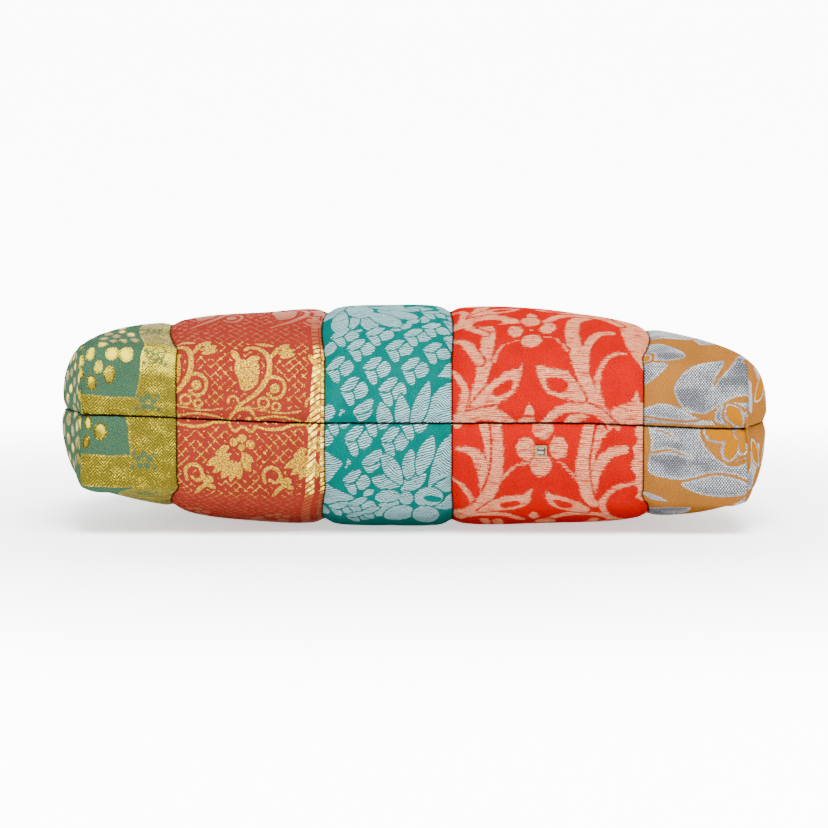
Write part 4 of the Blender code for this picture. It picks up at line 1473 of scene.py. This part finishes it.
def boxedSheet(across, insets, baseRows, faceRows, side, stitched=True, lift=0.0, lowest=0.0):
    # points, flat places and faces of cloth over base and face, sewn to itself at the corner
    cornerLeft = across[0] <= -halfBase
    cornerRight = across[-1] >= halfBase
    ownRows = [along for along, inset in baseRows if inset == 0.0]
    sideAcross = halfFlat - np.array(ownRows)
    faceAcross, faceInsets = across, insets
    if cornerLeft:
        faceAcross = np.concatenate([-sideAcross[:1], -sideAcross, faceAcross])
        faceInsets = np.concatenate([[-clothLook["tuck"]], 0 * sideAcross, faceInsets])
    if cornerRight:
        faceAcross = np.concatenate([faceAcross, sideAcross[::-1], sideAcross[:1]])
        faceInsets = np.concatenate([faceInsets, 0 * sideAcross, [-clothLook["tuck"]]])
    columns = len(faceAcross)
    points, flat = [], []
    for along, inset in faceRows:
        points.append(
            clothRow(faceAcross, along, side, faceInsets + inset + lift, stitched, lowest),
        )
        flat.append(
            np.stack(
                [faceAcross, np.full(columns, along * side), seamDistance(faceAcross)], axis=1,
            ),
        )
    faceNumbers = [list(range(row * columns, (row + 1) * columns)) for row in range(len(faceRows))]
    used = len(faceRows) * columns
    baseNumbers = []
    for row, (along, inset) in enumerate(baseRows):
        place = clothRow(across, along, side, insets + inset + lift, stitched, lowest)
        spot = np.stack([across, np.full(len(across), along * side), seamDistance(across)], axis=1)
        own = max(row - (len(baseRows) - len(ownRows)), 0)
        line, keep = [], []
        for column in range(len(across)):
            if cornerLeft and column == 0:
                line.append(own if inset else own + 1)
            elif cornerRight and column == len(across) - 1:
                line.append(columns - 1 - own if inset else columns - 2 - own)
            else:
                line.append(used + len(keep))
                keep.append(column)
        used += len(keep)
        points.append(place[keep])
        flat.append(spot[keep])
        baseNumbers.append(line)
    first = len(sideAcross) + 1 if cornerLeft else 0
    baseNumbers.append(faceNumbers[0][first : first + len(across)])
    pairs = [pair for rows in (baseNumbers, faceNumbers) for pair in zip(rows, rows[1:])]
    faces = [quad for pair in pairs for quad in rowFaces(*pair, side)]
    return np.concatenate(points), np.concatenate(flat), faces


def brocadeStrip(name, side, material):
    left, right = stripEdges[name]
    halfGap = clothLook["seamGap"] / 2
    tuck, look = clothLook["tuck"], clothLook
    low, high = max(left + halfGap, -halfBase), min(right - halfGap, halfBase)
    across = even(low, high, look["fineCell"])
    insets = np.zeros_like(across)
    if low > -halfBase:
        across, insets = np.concatenate([[low], across]), np.concatenate([[-tuck], insets])
    if high < halfBase:
        across, insets = np.concatenate([across, [high]]), np.concatenate([insets, [-tuck]])
    baseRows = [(halfGap, -tuck)] + [
        (along, 0.0)
        for along in even(halfGap, halfDepth, look["fineCell"])[:-1]
    ]
    mouth = halfDepth + pouch["sideHeight"]
    turn = halfDepth + look["fineReach"]
    faceRows = [(along, 0.0) for along in even(halfDepth, turn, look["fineCell"])[:-1]]
    faceRows += [(along, 0.0) for along in even(turn, mouth, look["coarseCell"])]
    # the mouth's edge is folded in and hangs down inside as a hem
    faceRows += [(mouth - drop, -inside) for drop, inside in look["hem"]]
    points, flat, faces = boxedSheet(across, insets, baseRows, faceRows, side)
    flat = (flat - np.array([lineUp.get(name, left), 0.0, 0.0])) * 1000
    piece = newPiece(f"{sideNames[side]}_{name}_cloth", points, faces, flat, material)
    draw, layers = patterns[name]
    sheet = PatternSheet(flat[:, 0], flat[:, 1])
    draw(sheet, side)
    for layer in layers:
        values = sheet.layers.get(layer, np.full(len(flat), 20.0))
        spot = piece.data.attributes.new("motif_" + layer, "FLOAT", "POINT")
        spot.data.foreach_set("value", np.ascontiguousarray(np.clip(values, -20, 20), np.float32))
    return thicken(piece, look["thickness"])


liningLook = dict(
    thickness=0.0003, cell=0.004, inside=0.0032, tuck=0.0008, short=0.009, lowest=0.002,
    mouthRise=0.0015, riseStart=0.13, riseEnd=0.17,
)


def liningHalf(side, material):
    look = liningLook
    across = even(-halfBase, halfBase, look["cell"])
    insets = np.zeros_like(across)
    baseRows = [(look["tuck"], -look["tuck"])]
    baseRows += [(along, 0.0) for along in even(look["tuck"], halfDepth, look["cell"])[:-1]]
    top = halfDepth + pouch["sideHeight"] - look["short"]
    rises = [
        (along, look["mouthRise"] * smooth(along, look["riseStart"], look["riseEnd"]))
        for along in even(halfDepth, top, look["cell"])
    ]
    points, flat, faces = boxedSheet(
        across, insets, baseRows, rises, side, False, -look["inside"], look["lowest"],
    )
    piece = newPiece(f"lining_{sideNames[side]}_cloth", points, faces, flat * 1000, material)
    return thicken(piece, look["thickness"])


casingLook = dict(
    thickness=0.0004, cell=0.0014, rows=13, proud=0.0013, swell=0.0022,
    turned=0.0006, turnedProud=0.0005, turnIn=0.0016,
)


def casingRow(across, share, side, extra=0.0):
    swell = casingLook["swell"] * math.sin(math.pi * share)
    along = halfDepth + pouch["casingStart"] + pouch["casingWidth"] * share
    return clothRow(across, along, side, casingLook["proud"] + swell + extra)


def casingHalf(side, material):
    look = casingLook
    reach = halfFlat - pouch["casingEndGap"]
    across = even(-reach, reach, look["cell"])
    shares = np.linspace(0.0, 1.0, look["rows"])
    low = halfDepth + pouch["casingStart"]
    high = low + pouch["casingWidth"]
    # both long edges are turned under
    rows = [clothRow(across, low + look["turned"], side, look["turnedProud"])]
    rows += [casingRow(across, share, side) for share in shares]
    rows += [clothRow(across, high - look["turned"], side, look["turnedProud"])]
    alongs = np.concatenate([[0.0], shares, [1.0]]) * pouch["casingWidth"] + low
    flat = [
        np.stack([across, np.full_like(across, along), 0 * across], axis=1)
        for along in alongs
    ]
    numbers = np.arange(len(rows) * len(across)).reshape(len(rows), -1).tolist()
    faces = [quad for pair in zip(numbers, numbers[1:]) for quad in rowFaces(*pair, side)]
    name = f"casing_{sideNames[side]}_cloth"
    piece = newPiece(name, np.concatenate(rows), faces, np.concatenate(flat) * 1000, material)
    return thicken(piece, look["thickness"])


# stitches that follow a seam
stitches = dict(
    pitch=0.0034, length=0.0021, thick=0.00042, proud=0.0001, pathCell=0.001,
    casingShare=0.07, belowRim=0.0085, endGap=0.001, rimEndGap=0.003,
)


def stitchTree():
    tree = bpy.data.node_groups.new("runningStitch", "GeometryNodeTree")
    sockets = {}
    for label, kind, value in (
        ("Geometry", "NodeSocketGeometry", None), ("Pitch", "NodeSocketFloat", stitches["pitch"]),
        ("Length", "NodeSocketFloat", stitches["length"]),
        ("Thickness", "NodeSocketFloat", stitches["thick"]),
        ("Thread", "NodeSocketMaterial", None),
    ):
        socket = tree.interface.new_socket(label, in_out="INPUT", socket_type=kind)
        if value is not None:
            socket.default_value = value
        sockets[label] = socket.identifier
    tree.interface.new_socket("Geometry", in_out="OUTPUT", socket_type="NodeSocketGeometry")
    wire = Wiring(tree)
    given = wire.add("NodeGroupInput").outputs
    seam = wire.add("GeometryNodeMeshToCurve", {"Mesh": given["Geometry"]}).outputs[0]
    even = wire.add(
        "GeometryNodeResampleCurve", {"Curve": seam, "Length": given["Pitch"]}, mode="LENGTH",
    ).outputs[0]
    ball = wire.add(
        "GeometryNodeMeshUVSphere", {"Segments": 8, "Rings": 5, "Radius": 0.5},
    ).outputs[0]
    size = wire.add(
        "ShaderNodeCombineXYZ", {0: given["Thickness"], 1: given["Thickness"], 2: given["Length"]},
    ).outputs[0]
    along = wire.add("GeometryNodeInputTangent").outputs[0]
    turn = wire.add("FunctionNodeAlignRotationToVector", {"Vector": along}, axis="Z").outputs[0]
    placed = wire.add(
        "GeometryNodeInstanceOnPoints",
        {"Points": even, "Instance": ball, "Rotation": turn, "Scale": size},
    ).outputs[0]
    real = wire.add("GeometryNodeRealizeInstances", {0: placed}).outputs[0]
    shaded = wire.add("GeometryNodeSetShadeSmooth", {0: real}).outputs[0]
    last = wire.add(
        "GeometryNodeSetMaterial", {"Geometry": shaded, "Material": given["Thread"]},
    ).outputs[0]
    wire.add("NodeGroupOutput", {"Geometry": last})
    return tree, sockets


def stitchRows(name, lines, tree, sockets, material):
    points = np.concatenate(lines)
    starts = np.cumsum([0] + [len(line) for line in lines])
    edges = [
        (number, number + 1)
        for start, end in zip(starts, starts[1:])
        for number in range(start, end - 1)
    ]
    mesh = bpy.data.meshes.new(name)
    mesh.from_pydata(points.tolist(), edges, [])
    path = placeObject(name + "_path", mesh)
    sewing = path.modifiers.new("stitches", "NODES")
    sewing.node_group = tree
    sewing[sockets["Thread"]] = material
    made = bpy.data.meshes.new_from_object(
        path.evaluated_get(bpy.context.evaluated_depsgraph_get()),
    )
    bpy.data.objects.remove(path)
    return placeObject(name, made)


# the stage
def buildStage():
    look = dict(
        near=0.14, far=0.50, dim=0.9, glow=7.5, ahead=(-1.0, -0.62, 0.05, 1.0),
        paper=0.95, drop=0.0002, halfWidth=3.5, surroundings=0.4,
    )
    floor = bpy.data.meshes.new("studio_sweep")
    profile = [(-3.0, 0.0), (1.6, 0.0), (1.95, 0.05), (2.2, 0.25), (2.3, 0.6), (2.3, 3.2)]
    points = [
        (x, y, z - look["drop"])
        for y, z in profile
        for x in (-look["halfWidth"], look["halfWidth"])
    ]
    floor.from_pydata(
        points, [], [(2 * n, 2 * n + 1, 2 * n + 3, 2 * n + 2) for n in range(len(profile) - 1)],
    )
    floor.shade_smooth()
    # painted light: the paper glows away from the pouch, as if under its own lamps
    material, wire, shader = newMaterial("studio_paper")
    shader.inputs["Base Color"].default_value = tint([look["paper"]] * 3)
    shader.inputs["Roughness"].default_value = look["paper"]
    place = wire.add("ShaderNodeTexCoord").outputs["Object"]
    reach = wire.add("ShaderNodeVectorMath", {0: place}, operation="LENGTH").outputs["Value"]
    shader.inputs["Emission Color"].default_value = (1.0, 1.0, 1.0, 1.0)
    glow = wire.ramp(reach, look["near"], look["far"], look["dim"], look["glow"])
    ahead = wire.parts(place)[1]
    glow = wire.sum("MULTIPLY", glow, wire.ramp(ahead, *look["ahead"]))
    wire.give(shader.inputs["Emission Strength"], glow)
    floor.materials.append(material)
    placeObject("studio_sweep", floor)
    world = bpy.data.worlds.new("studio")
    bpy.context.scene.world = world
    world.use_nodes = True
    sky = world.node_tree.nodes["Background"].inputs
    sky["Color"].default_value = (1.0, 1.0, 1.0, 1.0)
    sky["Strength"].default_value = look["surroundings"]
    for name, place, aim, size, power in (
        ("overhead", (0.15, -0.80, 1.40), (0.0, 0.0, 0.0), 1.0, 104.0),
        ("front_fill", (-0.5, -1.7, 0.9), (0.0, 0.0, 0.04), 0.9, 8.0),
    ):
        lamp = bpy.data.lights.new(name, "AREA")
        lamp.energy = power
        lamp.size = size
        pointAt(placeObject(name, lamp), place, aim)


def pointAt(thing, place, aim):
    thing.location = place
    thing.rotation_euler = (Vector(aim) - Vector(place)).to_track_quat("-Z", "Y").to_euler()


def buildCamera():
    view = dict(elevation=5.0, distance=1.2, aimHeight=0.046, lens=141.5, sensor=36.0)
    nose = min(
        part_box(f"{half}_{name}_strip")[0].y
        for half in ("front", "back")
        for name in stripEdges
    )
    camera = bpy.data.cameras.new("camera")
    camera.lens = view["lens"]
    camera.sensor_width = view["sensor"]
    thing = placeObject("camera", camera)
    rise = math.radians(view["elevation"])
    place = (
        0.0, nose - view["distance"] * math.cos(rise),
        view["aimHeight"] + view["distance"] * math.sin(rise),
    )
    pointAt(thing, place, (0.0, nose, view["aimHeight"]))
    bpy.context.scene.camera = thing


def declare(piece, node):
    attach(piece, "root")
    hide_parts(node)


# everything is built here
print("stage and camera")
buildStage()
buildCamera()
print("materials")
buildGroups()
brocades = {
    "gold": goldBrocade(), "rose": roseBrocade(), "teal": tealBrocade(),
    "scarlet": scarletBrocade(), "silver": silverBrocade(),
}
liningCotton = plainCotton("lining_cotton", (0.26, 0.20, 0.10), (0.18, 0.135, 0.07))
casingCotton = plainCotton("casing_cotton", (0.13, 0.012, 0.008), (0.085, 0.008, 0.006))
thread = threadMaterial()
print("brocade strips")
length = halfDepth + pouch["sideHeight"]
for side in (front, back):
    half = sideNames[side]
    for name, (left, right) in stripEdges.items():
        piece = brocadeStrip(name, side, brocades[name])
        # the end strips have a boxed corner cut out
        declare(
            piece, f"{half}_{name}_strip",
        )
    print("lining and casing,", half)
    piece = liningHalf(side, liningCotton)
    reach = length - liningLook["short"]
    declare(
        piece, f"lining_{half}",
    )
    piece = casingHalf(side, casingCotton)
    declare(
        piece, f"casing_{half}",
    )
print("stitches")
tree, sockets = stitchTree()
for side in (front, back):
    reach = halfFlat - pouch["casingEndGap"] - stitches["endGap"]
    rimReach = halfFlat - stitches["rimEndGap"]
    across = even(-reach, reach, stitches["pathCell"])
    rim = even(-rimReach, rimReach, stitches["pathCell"])
    shares = (stitches["casingShare"], 1.0 - stitches["casingShare"])
    lines = [casingRow(across, share, side, stitches["proud"]) for share in shares]
    lines.append(clothRow(rim, length - stitches["belowRim"], side, stitches["proud"]))
    piece = stitchRows(f"{sideNames[side]}_stitches", lines, tree, sockets, thread)
    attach(piece, "root")
print("crystal")
for name, material in crystalMaterials().items():
    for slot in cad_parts[name].material_slots:
        slot.material = material
